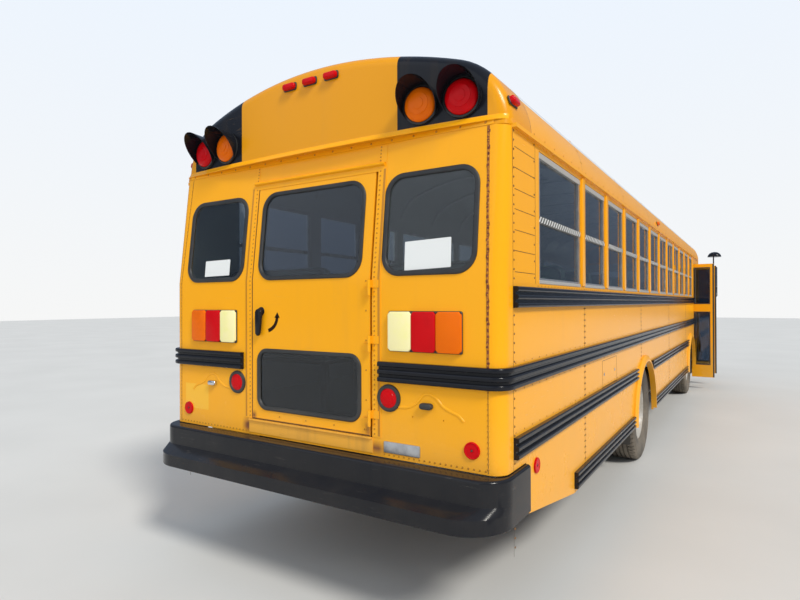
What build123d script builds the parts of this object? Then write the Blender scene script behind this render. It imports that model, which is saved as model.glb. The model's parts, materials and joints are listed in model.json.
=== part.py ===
"""School bus, flat front, engine beside the driver, entrance door ahead of the front axle.

Millimetres. +X is the kerb side, +Y is forward, +Z is up, and the ground is at Z = 0.
The origin lies on the ground, midway between the rear bumper and the front mirrors.
Stations along the bus are measured forward from the flat of the rear face.
"""
from build123d import *
from math import atan, atan2, cos, radians, sin
import os

os.makedirs("parts", exist_ok=True)

# Overall sizes
body_width = 2438
body_length = 10980
rear_bumper_reach = 190
front_mirror_reach = 330
roof_top = 3060
gutter_height = 2528
wall = 40
floor_top = 945
floor_thickness = 40
rear_wall_bottom = 843
skirt_bottom = 428
seat_gap = 0.3

half = body_width / 2
rear_face = -(rear_bumper_reach + body_length + front_mirror_reach) / 2 + rear_bumper_reach
front_face = rear_face + body_length


def station(distance):
    """Y of a place measured forward from the rear face."""
    return rear_face + distance


def across(y):
    """Plane across the bus at y: local x is +X, local y is +Z; a negative extrusion goes forward."""
    return Plane(origin=(0, y, 0), x_dir=(1, 0, 0), z_dir=(0, -1, 0))


def along(x):
    """Plane along the bus at x: local x is +Y, local y is +Z; a positive extrusion goes to +X."""
    return Plane.YZ.offset(x)


def level(z):
    """Plane at height z."""
    return Plane.XY.offset(z)


def save(part, name):
    """Label a finished piece and write it."""
    part.label = name
    export_step(part, "parts/" + name + ".step")


def outline(plane, *points):
    """Closed straight-sided area on a plane."""
    with BuildSketch(plane) as area:
        with BuildLine():
            Polyline(*points, close=True)
        make_face()
    return area.sketch


def box(x, y, z):
    """Block between two X, two Y and two Z values, as a separate solid."""
    with BuildPart() as block:
        with BuildSketch(level(min(z))):
            with Locations(((x[0] + x[1]) / 2, (y[0] + y[1]) / 2)):
                Rectangle(abs(x[1] - x[0]), abs(y[1] - y[0]))
        extrude(amount=abs(z[1] - z[0]))
    return block.part


# Roof section: upright side, shoulder arc and crown arc, tangent to each other
shoulder_radius = 400
shoulder_x = half - shoulder_radius
roof_rise = roof_top - gutter_height
crown_radius = (shoulder_x**2 + roof_rise**2 - shoulder_radius**2) / (2 * (roof_rise - shoulder_radius))
shoulder_angle = atan2(gutter_height - (roof_top - crown_radius), shoulder_x)


def roof_area(plane, inset):
    """Closed area between the gutter height and the roof line, drawn inset from the outside."""
    reach = half - inset
    radius = shoulder_radius - inset
    join = (shoulder_x + radius * cos(shoulder_angle), gutter_height + radius * sin(shoulder_angle))
    middle = (shoulder_x + radius * cos(shoulder_angle / 2), gutter_height + radius * sin(shoulder_angle / 2))
    with BuildSketch(plane) as area:
        with BuildLine():
            Line((-reach, gutter_height), (reach, gutter_height))
            ThreePointArc((reach, gutter_height), middle, join)
            ThreePointArc(join, (0, roof_top - inset), (-join[0], join[1]))
            ThreePointArc((-join[0], join[1]), (-middle[0], middle[1]), (-reach, gutter_height))
        make_face()
    return area.sketch


# Rear face: upright to lean_start, then leaning forward
lean_start = 1800
lean_slope = 0.1127
lean_angle = atan(lean_slope)
rear_corner_radius = 77
corner_return = 128
rear_cap_depth = 403
rear_cap_edge = 70
rear_lean_plane = Plane(
    origin=(0, rear_face, lean_start), x_dir=(1, 0, 0), z_dir=(0, -cos(lean_angle), sin(lean_angle))
)


def rear_line(z, inset):
    """Y of the rear face at height z, inset forward."""
    return rear_face + inset + max(0, z - lean_start) * lean_slope


# Front face: upright to the windshield sill, then leaning back
windshield_sill = 1330
windshield_head = 2400
front_slope = 0.105
front_angle = atan(front_slope)
front_corner_radius = 130
front_wall_depth = 540
front_cap_depth = 420
front_cap_edge = 120
front_lean_plane = Plane(
    origin=(0, front_face, windshield_sill), x_dir=(-1, 0, 0), z_dir=(0, cos(front_angle), sin(front_angle))
)


def front_line(z, inset):
    """Y of the front face at height z, inset rearward."""
    return front_face - inset - max(0, z - windshield_sill) * front_slope


# Windows of the side walls
window_sill = 1760
window_head = 2486
window_pitch = 719.6
pillar_width = 110
first_pillar = 1438
pillar_count = 12
first_window_start = 523
sash_depth = 24
sash_face = 34
sash_recess = 7
mid_rail_z = 2116
mid_rail_height = 30
glass_thickness = 6
driver_span = (9640, 10380)
window_spans = [(first_window_start, first_pillar - pillar_width / 2)] + [
    (
        first_pillar + k * window_pitch + pillar_width / 2,
        first_pillar + (k + 1) * window_pitch - pillar_width / 2,
    )
    for k in range(pillar_count - 1)
]
left_spans = window_spans + [driver_span]

# Entrance doorway on the kerb side
doorway_start = 9640
doorway_end = body_length - front_wall_depth
doorway_head = 2400
leaf_jamb_gap = 16
leaf_pivot_inset = 34
leaf_head_gap = 12
leaf_pin_radius = 10
leaf_pivot_x = half - wall / 2
leaf_pivots = {
    "rear": station(doorway_start + leaf_pivot_inset),
    "front": station(doorway_end - leaf_pivot_inset),
}

# Wheels and axles
rear_axle_station = 3930
front_axle_station = 8960
axle_stations = (rear_axle_station, front_axle_station)
tyre_radius = 510
tyre_width = 280
rim_radius = 286
front_track_half = 1040
kingpin_half = 890
rear_outer_half = 1052
dual_spacing = 330
arch_radius = 585
arch_centre_z = 450
hub_z = tyre_radius

# Side walls with their windows


def arch_cutter(x0, x1):
    """Solid of both wheel arches between two X values, open downwards."""
    with BuildPart() as cutter:
        for axle in axle_stations:
            with BuildSketch(along(min(x0, x1))):
                with Locations((station(axle), arch_centre_z)):
                    Circle(arch_radius)
                with Locations((station(axle), arch_centre_z / 2)):
                    Rectangle(2 * arch_radius, arch_centre_z)
            extrude(amount=abs(x1 - x0))
    return cutter.part


def side_wall(side, spans):
    """One side wall from the rear corner to the front wall."""
    with BuildPart() as slab:
        with BuildSketch(along(side * half)):
            with BuildLine():
                Polyline(
                    (station(corner_return), floor_top),
                    (station(doorway_end), floor_top),
                    (station(doorway_end), gutter_height),
                    (station(corner_return), gutter_height),
                    close=True,
                )
            make_face()
            for start, end in spans:
                with Locations((station((start + end) / 2), (window_sill + window_head) / 2)):
                    Rectangle(end - start, window_head - window_sill, mode=Mode.SUBTRACT)
            for axle in axle_stations:
                with Locations((station(axle), arch_centre_z)):
                    Circle(arch_radius, mode=Mode.SUBTRACT)
            if side > 0:
                with Locations((station((doorway_start + doorway_end) / 2), (floor_top + doorway_head) / 2)):
                    Rectangle(
                        doorway_end - doorway_start, doorway_head - floor_top, mode=Mode.SUBTRACT
                    )
        extrude(amount=-side * wall)
        if side > 0:
            with BuildSketch(level(doorway_head - leaf_head_gap + seat_gap)):
                with Locations(*[(leaf_pivot_x, y) for y in leaf_pivots.values()]):
                    Circle(leaf_pin_radius)
            extrude(amount=leaf_head_gap - seat_gap)
    return slab.part


save(side_wall(-1, left_spans), "side_wall_left")
save(side_wall(1, window_spans), "side_wall_right")

# Skirts below the floor line
skirt_thickness = 20
skirt_rear_start = 300
skirt_rear_low = 571
skirt_slope_end = 1193


def skirt(side, front_end):
    """One skirt, cut by both wheel arches."""
    with BuildPart() as panel:
        with BuildSketch(along(side * half)):
            with BuildLine():
                Polyline(
                    (station(corner_return), floor_top),
                    (station(corner_return), rear_wall_bottom),
                    (station(skirt_rear_start), rear_wall_bottom),
                    (station(skirt_rear_start + 42), skirt_rear_low),
                    (station(skirt_slope_end), skirt_bottom),
                    (station(front_end), skirt_bottom),
                    (station(front_end), floor_top),
                    close=True,
                )
            make_face()
        extrude(amount=-side * skirt_thickness)
        add(arch_cutter(side * (half - 60), side * (half + 1)), mode=Mode.SUBTRACT)
    return panel.part


with BuildPart() as skirts:
    add(skirt(-1, doorway_end))
    add(skirt(1, doorway_start))
save(skirts.part, "skirts")

# Lips round the wheel arches
arch_lip_width = 62
arch_lip_proud = 38


def arch_lip(side, axle):
    """Bent lip that stands proud of the panel round one wheel arch."""
    with BuildPart() as lip:
        with BuildSketch(along(side * half)):
            with Locations((station(axle), arch_centre_z)):
                Circle(arch_radius + arch_lip_width)
                Circle(arch_radius, mode=Mode.SUBTRACT)
            with Locations((station(axle), arch_centre_z - arch_radius)):
                Rectangle(3 * arch_radius, 2 * arch_radius, mode=Mode.SUBTRACT)
        extrude(amount=side * arch_lip_proud)
        outer_edge = [
            e
            for e in lip.edges().filter_by(GeomType.CIRCLE)
            if abs(abs(e.center().X) - half) > arch_lip_proud / 2 and e.radius > arch_radius + 1
        ]
        chamfer(outer_edge, arch_lip_proud * 0.6, arch_lip_width * 0.75)
    return lip.part


with BuildPart() as wheel_arch_lips:
    for side in (-1, 1):
        for axle in axle_stations:
            add(arch_lip(side, axle))
save(wheel_arch_lips.part, "wheel_arch_lips")

# Rear wall, with its rounded corners, doorway and two windows
door_left = -449
door_right = 457
door_bottom = 943
door_top = 2394
door_gap = 15
door_thickness = 36
rear_window_centre = 807.5
rear_window_width = 555
rear_window_height = 554
rear_glass_radius = 110
seal_width = 38
seal_grip = 15
plate_centre_x = 815
plate_hole_z = 1075
plate_hole_spacing = 178
plate_hole_radius = 3.5


door_hinge_x = door_right + 8
door_hinge_back = 20
hinge_places = (1000, 1400, 1700)
hinge_length = 84
hinge_barrel = 9
hinge_strap = 46
hinge_plate = 6


def hinge_half(side, edge, low):
    """Half of one door hinge: strap on the face beyond an edge, web and half of the barrel."""
    half_length = hinge_length / 2 - seat_gap
    with BuildPart() as leaf:
        z = (low, low + half_length)
        add(box((edge + side * 1, edge + side * hinge_strap), (rear_face - hinge_plate, rear_face), z))
        web = (door_hinge_x + side * 2, door_hinge_x + side * (hinge_barrel - 1))
        add(box(web, (rear_face - door_hinge_back, rear_face - hinge_plate), z))
        add(box((web[0], edge + side * 6), (rear_face - hinge_plate - 6, rear_face - hinge_plate), z))
        with BuildSketch(level(low)):
            with Locations((door_hinge_x, rear_face - door_hinge_back)):
                Circle(hinge_barrel)
        extrude(amount=half_length)
    return leaf.part


def rear_profile(x, inset, end, top, bottom):
    """Side view of the rear end, from the rear face line to a station."""
    return outline(
        along(x),
        (rear_line(bottom, inset), bottom),
        (station(end), bottom),
        (station(end), top),
        (rear_line(top, inset), top),
        (rear_line(lean_start, inset), lean_start),
    )


with BuildPart() as rear_wall:
    extrude(rear_profile(-half, 0, corner_return, gutter_height, rear_wall_bottom), amount=body_width)
    rear_corners = [
        e
        for e in rear_wall.edges()
        if abs(abs(e.center().X) - half) < 1 and e.center().Y < rear_face + 60 and e.length > 500
    ]
    fillet(rear_corners, rear_corner_radius)
    extrude(
        rear_profile(-half + wall, wall, corner_return + 1, gutter_height, rear_wall_bottom),
        amount=body_width - 2 * wall,
        mode=Mode.SUBTRACT,
    )
    with BuildSketch(across(rear_face - 5)):
        with Locations(((door_left + door_right) / 2, (door_bottom + door_top) / 2)):
            Rectangle(door_right - door_left + 2 * door_gap, door_top - door_bottom + 2 * door_gap)
    extrude(amount=-250, mode=Mode.SUBTRACT)
    with BuildSketch(rear_lean_plane.offset(10)):
        with Locations(*((side * rear_window_centre, rear_window_height / 2) for side in (-1, 1))):
            RectangleRounded(
                rear_window_width - 2 * seal_grip,
                rear_window_height - 2 * seal_grip,
                rear_glass_radius - seal_grip,
            )
    extrude(amount=-90, mode=Mode.SUBTRACT)
    with BuildSketch(across(rear_face - 5)):
        with Locations((plate_centre_x, plate_hole_z)):
            with GridLocations(plate_hole_spacing, 0, 2, 1):
                Circle(plate_hole_radius)
    extrude(amount=-60, mode=Mode.SUBTRACT)
    for low in hinge_places:
        add(hinge_half(1, door_right + door_gap, low + hinge_length / 2 + seat_gap))
save(rear_wall.part, "rear_wall")


def cap_block(inset, cut_plane, y_start, y_end):
    """Solid under the roof line between two Y values, ended by a leaning plane."""
    with BuildPart() as block:
        extrude(roof_area(across(y_start), inset), amount=-(y_end - y_start))
        split(bisect_by=cut_plane, keep=Keep.BOTTOM)
    return block.part


# Caps over the rear wall and over the windshield
with BuildPart() as rear_cap:
    add(cap_block(0, rear_lean_plane, rear_face, station(rear_cap_depth)))
    fillet(rear_cap.faces().sort_by(Axis.Y)[0].edges().sort_by(Axis.Z)[1:], rear_cap_edge)
    add(
        cap_block(wall, rear_lean_plane.offset(-wall), rear_face, station(rear_cap_depth + 1)),
        mode=Mode.SUBTRACT,
    )
save(rear_cap.part, "rear_cap")

with BuildPart() as front_cap:
    add(cap_block(0, front_lean_plane, front_face - front_cap_depth, front_face))
    fillet(front_cap.faces().sort_by(Axis.Y)[-1].edges().sort_by(Axis.Z)[1:], front_cap_edge)
    add(
        cap_block(wall, front_lean_plane.offset(-wall), front_face - front_cap_depth - 1, front_face),
        mode=Mode.SUBTRACT,
    )
save(front_cap.part, "front_cap")

# Roof between the two caps, with openings for two escape hatches
hatch_length = 620
hatch_width = 620
hatch_stations = (3300, 7650)
hatch_corner = 60
curb_width = 26
curb_top = roof_top + 6
with BuildPart() as roof:
    roof_length = body_length - rear_cap_depth - front_cap_depth
    extrude(roof_area(across(station(rear_cap_depth)), 0), amount=-roof_length)
    extrude(roof_area(across(station(rear_cap_depth)), wall), amount=-roof_length, mode=Mode.SUBTRACT)
    with BuildSketch(level(roof_top - wall)):
        with Locations(*[(0, station(s)) for s in hatch_stations]):
            RectangleRounded(
                hatch_width + 2 * curb_width, hatch_length + 2 * curb_width, hatch_corner + curb_width
            )
    extrude(amount=curb_top - roof_top + wall)
    with BuildSketch(level(roof_top - 200)):
        with Locations(*[(0, station(s)) for s in hatch_stations]):
            RectangleRounded(hatch_width, hatch_length, hatch_corner)
    extrude(amount=300, mode=Mode.SUBTRACT)
save(roof.part, "roof")

# Front wall, with its rounded corners, split windshield, lamps and grille
front_wall_bottom = skirt_bottom
windshield_half = 1010
windshield_post = 70
windshield_radius = 90
grille_half = 430
grille_bottom = 860
grille_top = 1180
headlamp_x = 830
headlamp_z = 1000
headlamp_radius = 95
bracket_hole_x = 384
bracket_hole_z = 758
bracket_hole_width = 90
bracket_hole_height = 150


def front_profile(x, inset, end, top, bottom):
    """Side view of the front end, from a distance behind the front face to the front line."""
    return outline(
        along(x),
        (front_face - end, bottom),
        (front_line(bottom, inset), bottom),
        (front_line(windshield_sill, inset), windshield_sill),
        (front_line(top, inset), top),
        (front_face - end, top),
    )


with BuildPart() as front_wall_core:
    extrude(
        front_profile(-half + wall, wall, front_wall_depth + 1, gutter_height, front_wall_bottom),
        amount=body_width - 2 * wall,
    )
    inner_corners = [
        e
        for e in front_wall_core.edges()
        if abs(abs(e.center().X) - half + wall) < 1 and e.center().Y > front_face - 200 and e.length > 500
    ]
    fillet(inner_corners, front_corner_radius - wall)

with BuildPart() as front_wall:
    extrude(front_profile(-half, 0, front_wall_depth, gutter_height, front_wall_bottom), amount=body_width)
    front_corners = [
        e
        for e in front_wall.edges()
        if abs(abs(e.center().X) - half) < 1 and e.center().Y > front_face - 100 and e.length > 500
    ]
    fillet(front_corners, front_corner_radius)
    add(front_wall_core.part, mode=Mode.SUBTRACT)
    with BuildSketch(front_lean_plane.offset(10)):
        pane_width = windshield_half - windshield_post / 2
        pane_centre = (windshield_half + windshield_post / 2) / 2
        with Locations(*[(s * pane_centre, (windshield_head - windshield_sill) / 2 + 30) for s in (-1, 1)]):
            RectangleRounded(
                pane_width - 2 * seal_grip,
                windshield_head - windshield_sill - 60 - 2 * seal_grip,
                windshield_radius - seal_grip,
            )
    extrude(amount=-120, mode=Mode.SUBTRACT)
    with BuildSketch(across(front_face + 5)):
        with Locations((0, (grille_bottom + grille_top) / 2)):
            Rectangle(2 * grille_half, grille_top - grille_bottom)
        with Locations((-headlamp_x, headlamp_z), (headlamp_x, headlamp_z)):
            Circle(headlamp_radius)
        with Locations((-bracket_hole_x, bracket_hole_z), (bracket_hole_x, bracket_hole_z)):
            Rectangle(bracket_hole_width, bracket_hole_height)
    extrude(amount=120, mode=Mode.SUBTRACT)
save(front_wall.part, "front_wall")

# Grille bars across the front opening
grille_bar = 22
grille_pitch = 50
with BuildPart() as grille:
    grille_rows = int((grille_top - grille_bottom - grille_bar) / grille_pitch)
    for x in (-grille_half + 6, 0, grille_half - 6):
        add(box((x - 6, x + 6), (front_face - 34, front_face - 6), (grille_bottom, grille_top)))
    for k in range(grille_rows + 1):
        low = grille_bottom + k * (grille_top - grille_bottom - grille_bar) / grille_rows
        add(box((-grille_half, grille_half), (front_face - 30, front_face - 10), (low, low + grille_bar)))
save(grille.part, "grille")

# Side window frames: sash ring with a middle rail, and the panes inside
sash_x = half - sash_recess


def spots(spans, low, high):
    """Size and centre on a side plane of each span's rectangle between two heights."""
    return [(end - start, high - low, (station((start + end) / 2), (low + high) / 2)) for start, end in spans]


side_windows = ((1, window_spans), (-1, left_spans))
mid_low = mid_rail_z - mid_rail_height / 2
mid_high = mid_rail_z + mid_rail_height / 2
with BuildPart() as side_window_frames:
    for side, spans in side_windows:
        inner_spans = [(start + sash_face, end - sash_face) for start, end in spans]
        with BuildSketch(along(side * sash_x)):
            for width, height, centre in spots(spans, window_sill, window_head):
                with Locations(centre):
                    Rectangle(width, height)
            for low, high in ((window_sill + sash_face, mid_low), (mid_high, window_head - sash_face)):
                for width, height, centre in spots(inner_spans, low, high):
                    with Locations(centre):
                        Rectangle(width, height, mode=Mode.SUBTRACT)
        extrude(amount=-side * sash_depth)
save(side_window_frames.part, "side_window_frames")


def lean_pane(plane, x, y, width, height, radius, depth, thickness):
    """Rounded pane parallel to a leaning plane, set back from it."""
    with BuildPart() as pane:
        with BuildSketch(plane.offset(-depth)):
            with Locations((x, y)):
                RectangleRounded(width, height, radius)
        extrude(amount=-thickness)
    return pane.part


def lean_seal(plane, x, y, width, height, radius, proud):
    """Rubber surround on the outside of a window: a flat ring with a softened outer edge."""
    with BuildPart() as ring:
        with BuildSketch(plane):
            with Locations((x, y)):
                RectangleRounded(width, height, radius)
                RectangleRounded(
                    width - 2 * seal_width, height - 2 * seal_width, radius - seal_width, mode=Mode.SUBTRACT
                )
        extrude(amount=proud)
    return ring.part


seal_proud = 7
windshield_height = windshield_head - windshield_sill - 60
windshield_mid = windshield_height / 2 + 60
with BuildPart() as glazing:
    for side, spans in side_windows:
        inner_spans = [(start + sash_face, end - sash_face) for start, end in spans]
        with BuildSketch(along(side * (sash_x - sash_depth / 2))):
            for low, high in ((window_sill + sash_face, mid_low), (mid_high, window_head - sash_face)):
                for width, height, centre in spots(inner_spans, low, high):
                    with Locations(centre):
                        Rectangle(width, height)
        extrude(amount=-side * glass_thickness)
    for side in (-1, 1):
        add(
            lean_pane(
                rear_lean_plane,
                side * rear_window_centre,
                rear_window_height / 2,
                rear_window_width - 2 * seal_grip,
                rear_window_height - 2 * seal_grip,
                rear_glass_radius - seal_grip,
                4,
                glass_thickness,
            )
        )
        add(
            lean_pane(
                front_lean_plane,
                side * pane_centre,
                windshield_mid,
                pane_width - 2 * seal_grip,
                windshield_height - 2 * seal_grip,
                windshield_radius - seal_grip,
                4,
                glass_thickness,
            )
        )
save(glazing.part, "glazing")

with BuildPart() as window_seals:
    for side in (-1, 1):
        add(
            lean_seal(
                rear_lean_plane,
                side * rear_window_centre,
                rear_window_height / 2,
                rear_window_width,
                rear_window_height,
                rear_glass_radius,
                seal_proud,
            )
        )
        add(
            lean_seal(
                front_lean_plane,
                side * pane_centre,
                windshield_mid,
                pane_width,
                windshield_height,
                windshield_radius,
                seal_proud,
            )
        )
save(window_seals.part, "window_seals")

# Emergency door in the rear wall: bent slab with two windows
door_window_half = 400
door_window_low = 1004
door_window_high = 1383
door_window_radius = 45

with BuildPart() as emergency_door:
    door_area = outline(
        along(door_left),
        (rear_line(door_bottom, 0), door_bottom),
        (rear_line(door_bottom, door_thickness), door_bottom),
        (rear_line(lean_start, door_thickness), lean_start),
        (rear_line(door_top, door_thickness), door_top),
        (rear_line(door_top, 0), door_top),
        (rear_line(lean_start, 0), lean_start),
    )
    extrude(door_area, amount=door_right - door_left)
    with BuildSketch(rear_lean_plane.offset(10)):
        with Locations((0, rear_window_height / 2)):
            RectangleRounded(
                2 * (door_window_half - seal_grip),
                rear_window_height - 2 * seal_grip,
                rear_glass_radius - seal_grip,
            )
    extrude(amount=-90, mode=Mode.SUBTRACT)
    with BuildSketch(across(rear_face - 5)):
        with Locations((0, (door_window_low + door_window_high) / 2)):
            RectangleRounded(
                2 * (door_window_half - seal_grip),
                door_window_high - door_window_low - 2 * seal_grip,
                door_window_radius - seal_grip,
            )
    extrude(amount=-90, mode=Mode.SUBTRACT)
    for low in hinge_places:
        add(hinge_half(-1, door_right, low))
save(emergency_door.part, "emergency_door")

rear_upright_plane = Plane(origin=(0, rear_face, 0), x_dir=(1, 0, 0), z_dir=(0, -1, 0))
door_window_height = door_window_high - door_window_low
door_window_mid = (door_window_high + door_window_low) / 2
with BuildPart() as emergency_door_glass:
    add(
        lean_pane(
            rear_lean_plane,
            0,
            rear_window_height / 2,
            2 * (door_window_half - seal_grip),
            rear_window_height - 2 * seal_grip,
            rear_glass_radius - seal_grip,
            4,
            glass_thickness,
        )
    )
    add(
        lean_pane(
            rear_upright_plane,
            0,
            door_window_mid,
            2 * (door_window_half - seal_grip),
            door_window_height - 2 * seal_grip,
            door_window_radius - seal_grip,
            4,
            glass_thickness,
        )
    )
save(emergency_door_glass.part, "emergency_door_glass")

with BuildPart() as emergency_door_seals:
    add(
        lean_seal(
            rear_lean_plane,
            0,
            rear_window_height / 2,
            2 * door_window_half,
            rear_window_height,
            rear_glass_radius,
            seal_proud,
        )
    )
    add(
        lean_seal(
            rear_upright_plane,
            0,
            door_window_mid,
            2 * door_window_half,
            door_window_height,
            door_window_radius,
            seal_proud,
        )
    )
save(emergency_door_seals.part, "emergency_door_seals")

# Handle of the emergency door: boss and a tapered lever hanging down
handle_x = -385
handle_z = 1620
handle_drop = 150
handle_swing = 12
handle_boss = 24
handle_reach = 30
handle_ends = (18, 12)
handle_lever = 15
with BuildPart() as emergency_door_handle:
    with BuildSketch(across(rear_face)):
        with Locations((handle_x, handle_z)):
            Circle(handle_boss)
    extrude(amount=handle_reach)
    with BuildSketch(across(rear_face - handle_reach)):
        with Locations((handle_x, handle_z)):
            Circle(handle_ends[0])
        with Locations((handle_x - handle_swing, handle_z - handle_drop)):
            Circle(handle_ends[1])
        make_hull()
    extrude(amount=handle_lever)
    fillet(emergency_door_handle.faces().sort_by(Axis.Y)[0].edges(), handle_lever / 3)
save(emergency_door_handle.part, "emergency_door_handle")

# Floor with wheelhouses and an opening for the engine
floor_half = half - wall
wheelhouse_top = 1090
wheelhouse_wall = 20
wheelhouse_rear_inner = 545
wheelhouse_front_inner = 535
wheelhouse_half_length = 625
engine_opening_half = 400
engine_opening_start = 9700
engine_opening_end = 10870
step_well_inner = 560
wheelhouses = (
    (rear_axle_station, wheelhouse_rear_inner),
    (front_axle_station, wheelhouse_front_inner),
)


def wheelhouse(side, axle, inner):
    """Box over one wheel, open below and towards the arch."""
    outer_x = floor_half - seat_gap
    with BuildPart() as house:
        add(
            box(
                (side * inner, side * outer_x),
                (station(axle - wheelhouse_half_length), station(axle + wheelhouse_half_length)),
                (floor_top, wheelhouse_top),
            )
        )
        add(
            box(
                (side * (inner + wheelhouse_wall), side * (outer_x + 1)),
                (
                    station(axle - wheelhouse_half_length + wheelhouse_wall),
                    station(axle + wheelhouse_half_length - wheelhouse_wall),
                ),
                (floor_top - 1, wheelhouse_top - wheelhouse_wall),
            ),
            mode=Mode.SUBTRACT,
        )
    return house.part


floor_end_gap = 10
floor_corner = front_corner_radius - wall + floor_end_gap
with BuildPart() as floor:
    with BuildSketch(level(floor_top - floor_thickness)):
        with Locations((0, station(body_length / 2))):
            Rectangle(2 * (floor_half - seat_gap), body_length - 2 * (wall + floor_end_gap))
        fillet(vertices().group_by(Axis.Y)[-1], floor_corner)
        for side in (-1, 1):
            for axle, inner in wheelhouses:
                with Locations((side * ((inner + half) / 2 + wheelhouse_wall / 2), station(axle))):
                    Rectangle(
                        half - inner - wheelhouse_wall,
                        2 * (wheelhouse_half_length - wheelhouse_wall),
                        mode=Mode.SUBTRACT,
                    )
        with Locations((0, station((engine_opening_start + engine_opening_end) / 2))):
            Rectangle(2 * engine_opening_half, engine_opening_end - engine_opening_start, mode=Mode.SUBTRACT)
        with Locations(((step_well_inner + half) / 2, station((doorway_start + doorway_end) / 2))):
            Rectangle(half - step_well_inner, doorway_end - doorway_start, mode=Mode.SUBTRACT)
    extrude(amount=floor_thickness)
    for side in (-1, 1):
        for axle, inner in wheelhouses:
            add(wheelhouse(side, axle, inner))
save(floor.part, "floor")

# Entrance steps: risers and treads of folded plate with end plates
step_plate = 12
step_rise = (floor_top - 290) / 3
step_outer = floor_half - 12
step_run = (step_outer - step_well_inner) / 3
with BuildPart() as entrance_steps:
    first_tread = floor_top - 3 * step_rise
    y_span = (station(doorway_start), station(doorway_end))
    for k in range(3):
        tread_z = first_tread + k * step_rise
        in_x = step_outer - (k + 1) * step_run
        out_x = in_x + step_run + min(k, 1) * step_plate
        add(box((in_x, out_x), y_span, (tread_z - step_plate, tread_z)))
        riser_top = tread_z + step_rise - step_plate
        add(box((in_x, in_x + step_plate), y_span, (tread_z, riser_top)))
    for y in (y_span[0], y_span[1] - step_plate):
        add(
            box(
                (step_well_inner, step_outer),
                (y, y + step_plate),
                (first_tread - step_plate, floor_top - floor_thickness),
            )
        )
save(entrance_steps.part, "entrance_steps")

# Bumpers: rolled channel with a stepped lower lip, wrapping round the corners
bumper_top = 838
bumper_bottom = 600
bumper_step_top = 716
bumper_step_low = 676
bumper_plate = 7
bumper_half = 1245
bumper_face_reach = 95
bumper_face_corner = 150
bumper_lip_corner = 240
bumper_wrap = 296
bumper_roll = 16
bumper_lip_round = 4


def bumper_plan(z, reach, wrap, corner, inset):
    """Plan of a bumper at height z: straight sides, rounded corners and a face at the given reach."""
    side_x = bumper_half - inset
    radius = corner - inset
    face_y = -reach + inset
    with BuildSketch(level(z)) as area:
        with BuildLine():
            Line((-side_x, wrap), (-side_x, face_y + radius))
            RadiusArc((-side_x, face_y + radius), (-side_x + radius, face_y), -radius)
            Line((-side_x + radius, face_y), (side_x - radius, face_y))
            RadiusArc((side_x - radius, face_y), (side_x, face_y + radius), -radius)
            Line((side_x, face_y + radius), (side_x, wrap))
            Line((side_x, wrap), (-side_x, wrap))
        make_face()
    return area.sketch


def bumper_block(lip_reach, wrap, inset, top, bottom):
    """Solid outer form of a bumper, inset all round, in a frame with the body face at Y = 0."""
    with BuildPart() as block:
        extrude(
            bumper_plan(bumper_step_top, bumper_face_reach, wrap, bumper_face_corner, inset),
            amount=top - bumper_step_top,
        )
        loft(
            [
                bumper_plan(bumper_step_top, bumper_face_reach, wrap, bumper_face_corner, inset).face(),
                bumper_plan(bumper_step_low, lip_reach, wrap, bumper_lip_corner, inset).face(),
            ]
        )
        extrude(
            bumper_plan(bottom, lip_reach, wrap, bumper_lip_corner, inset), amount=bumper_step_low - bottom
        )
        if inset == 0:
            for face, radius in ((-1, bumper_roll), (0, bumper_lip_round)):
                rim_edges = block.faces().sort_by(Axis.Z)[face].edges()
                fillet([e for e in rim_edges if e.center().Y < wrap - 1], radius)
    return block.part


def bumper(lip_reach, wrap, flange_half):
    """Open channel of the bumper, its top flange cut back over the body."""
    with BuildPart() as channel:
        add(bumper_block(lip_reach, wrap, 0, bumper_top, bumper_bottom))
        add(
            bumper_block(lip_reach, wrap + 1, bumper_plate, bumper_top - bumper_plate, bumper_bottom - 1),
            mode=Mode.SUBTRACT,
        )
        with BuildSketch(level(bumper_top - 2 * bumper_plate)):
            with Locations((0, wrap)):
                Rectangle(2 * flange_half, 2 * (wrap + 5))
        extrude(amount=3 * bumper_plate, mode=Mode.SUBTRACT)
    return channel.part


front_bumper_reach = 185
front_bumper_wrap = 170
rear_bumper = Pos(0, rear_face, 0) * bumper(rear_bumper_reach, bumper_wrap, bumper_half - 70)
turned = Pos(0, front_face, 0) * Rot(0, 0, 180)
front_bumper = turned * bumper(front_bumper_reach, front_bumper_wrap, half + 4)
save(rear_bumper, "rear_bumper")
save(front_bumper, "front_bumper")

# Rub rails: ribbed rails at four heights along both sides, one of them round the rear corners,
# and the bracket that carries the stop arm on the left side
stop_pivot_station = 9480
stop_pivot_x = -half - 62
stop_blade_z = 1492
stop_barrel_radius = 11
stop_barrel_height = 150
rail_base = 12
rail_proud = 28
rail_height = 106
rail_rib = 26
rail_ribs = (0, 40, 80)
rail_round = 9


def rail_section(plane):
    """Section of a rail on the wall: a flat base and three rounded ribs, x outwards."""
    with BuildSketch(plane) as section:
        with Locations((rail_base / 2, rail_height / 2)):
            Rectangle(rail_base, rail_height)
        for rib in rail_ribs:
            with Locations((rail_proud / 2, rib + rail_rib / 2)):
                Rectangle(rail_proud, rail_rib)
        fillet(section.vertices().group_by(Axis.X)[-1], rail_round)
    return section.sketch


def straight_rail(z, y0, y1, side):
    """Straight rail on one side, from its bottom edge z."""
    start = Plane(origin=(side * half, y0, z), x_dir=(side, 0, 0), z_dir=(0, -side, 0))
    return extrude(rail_section(start), amount=-side * (y1 - y0))


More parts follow.
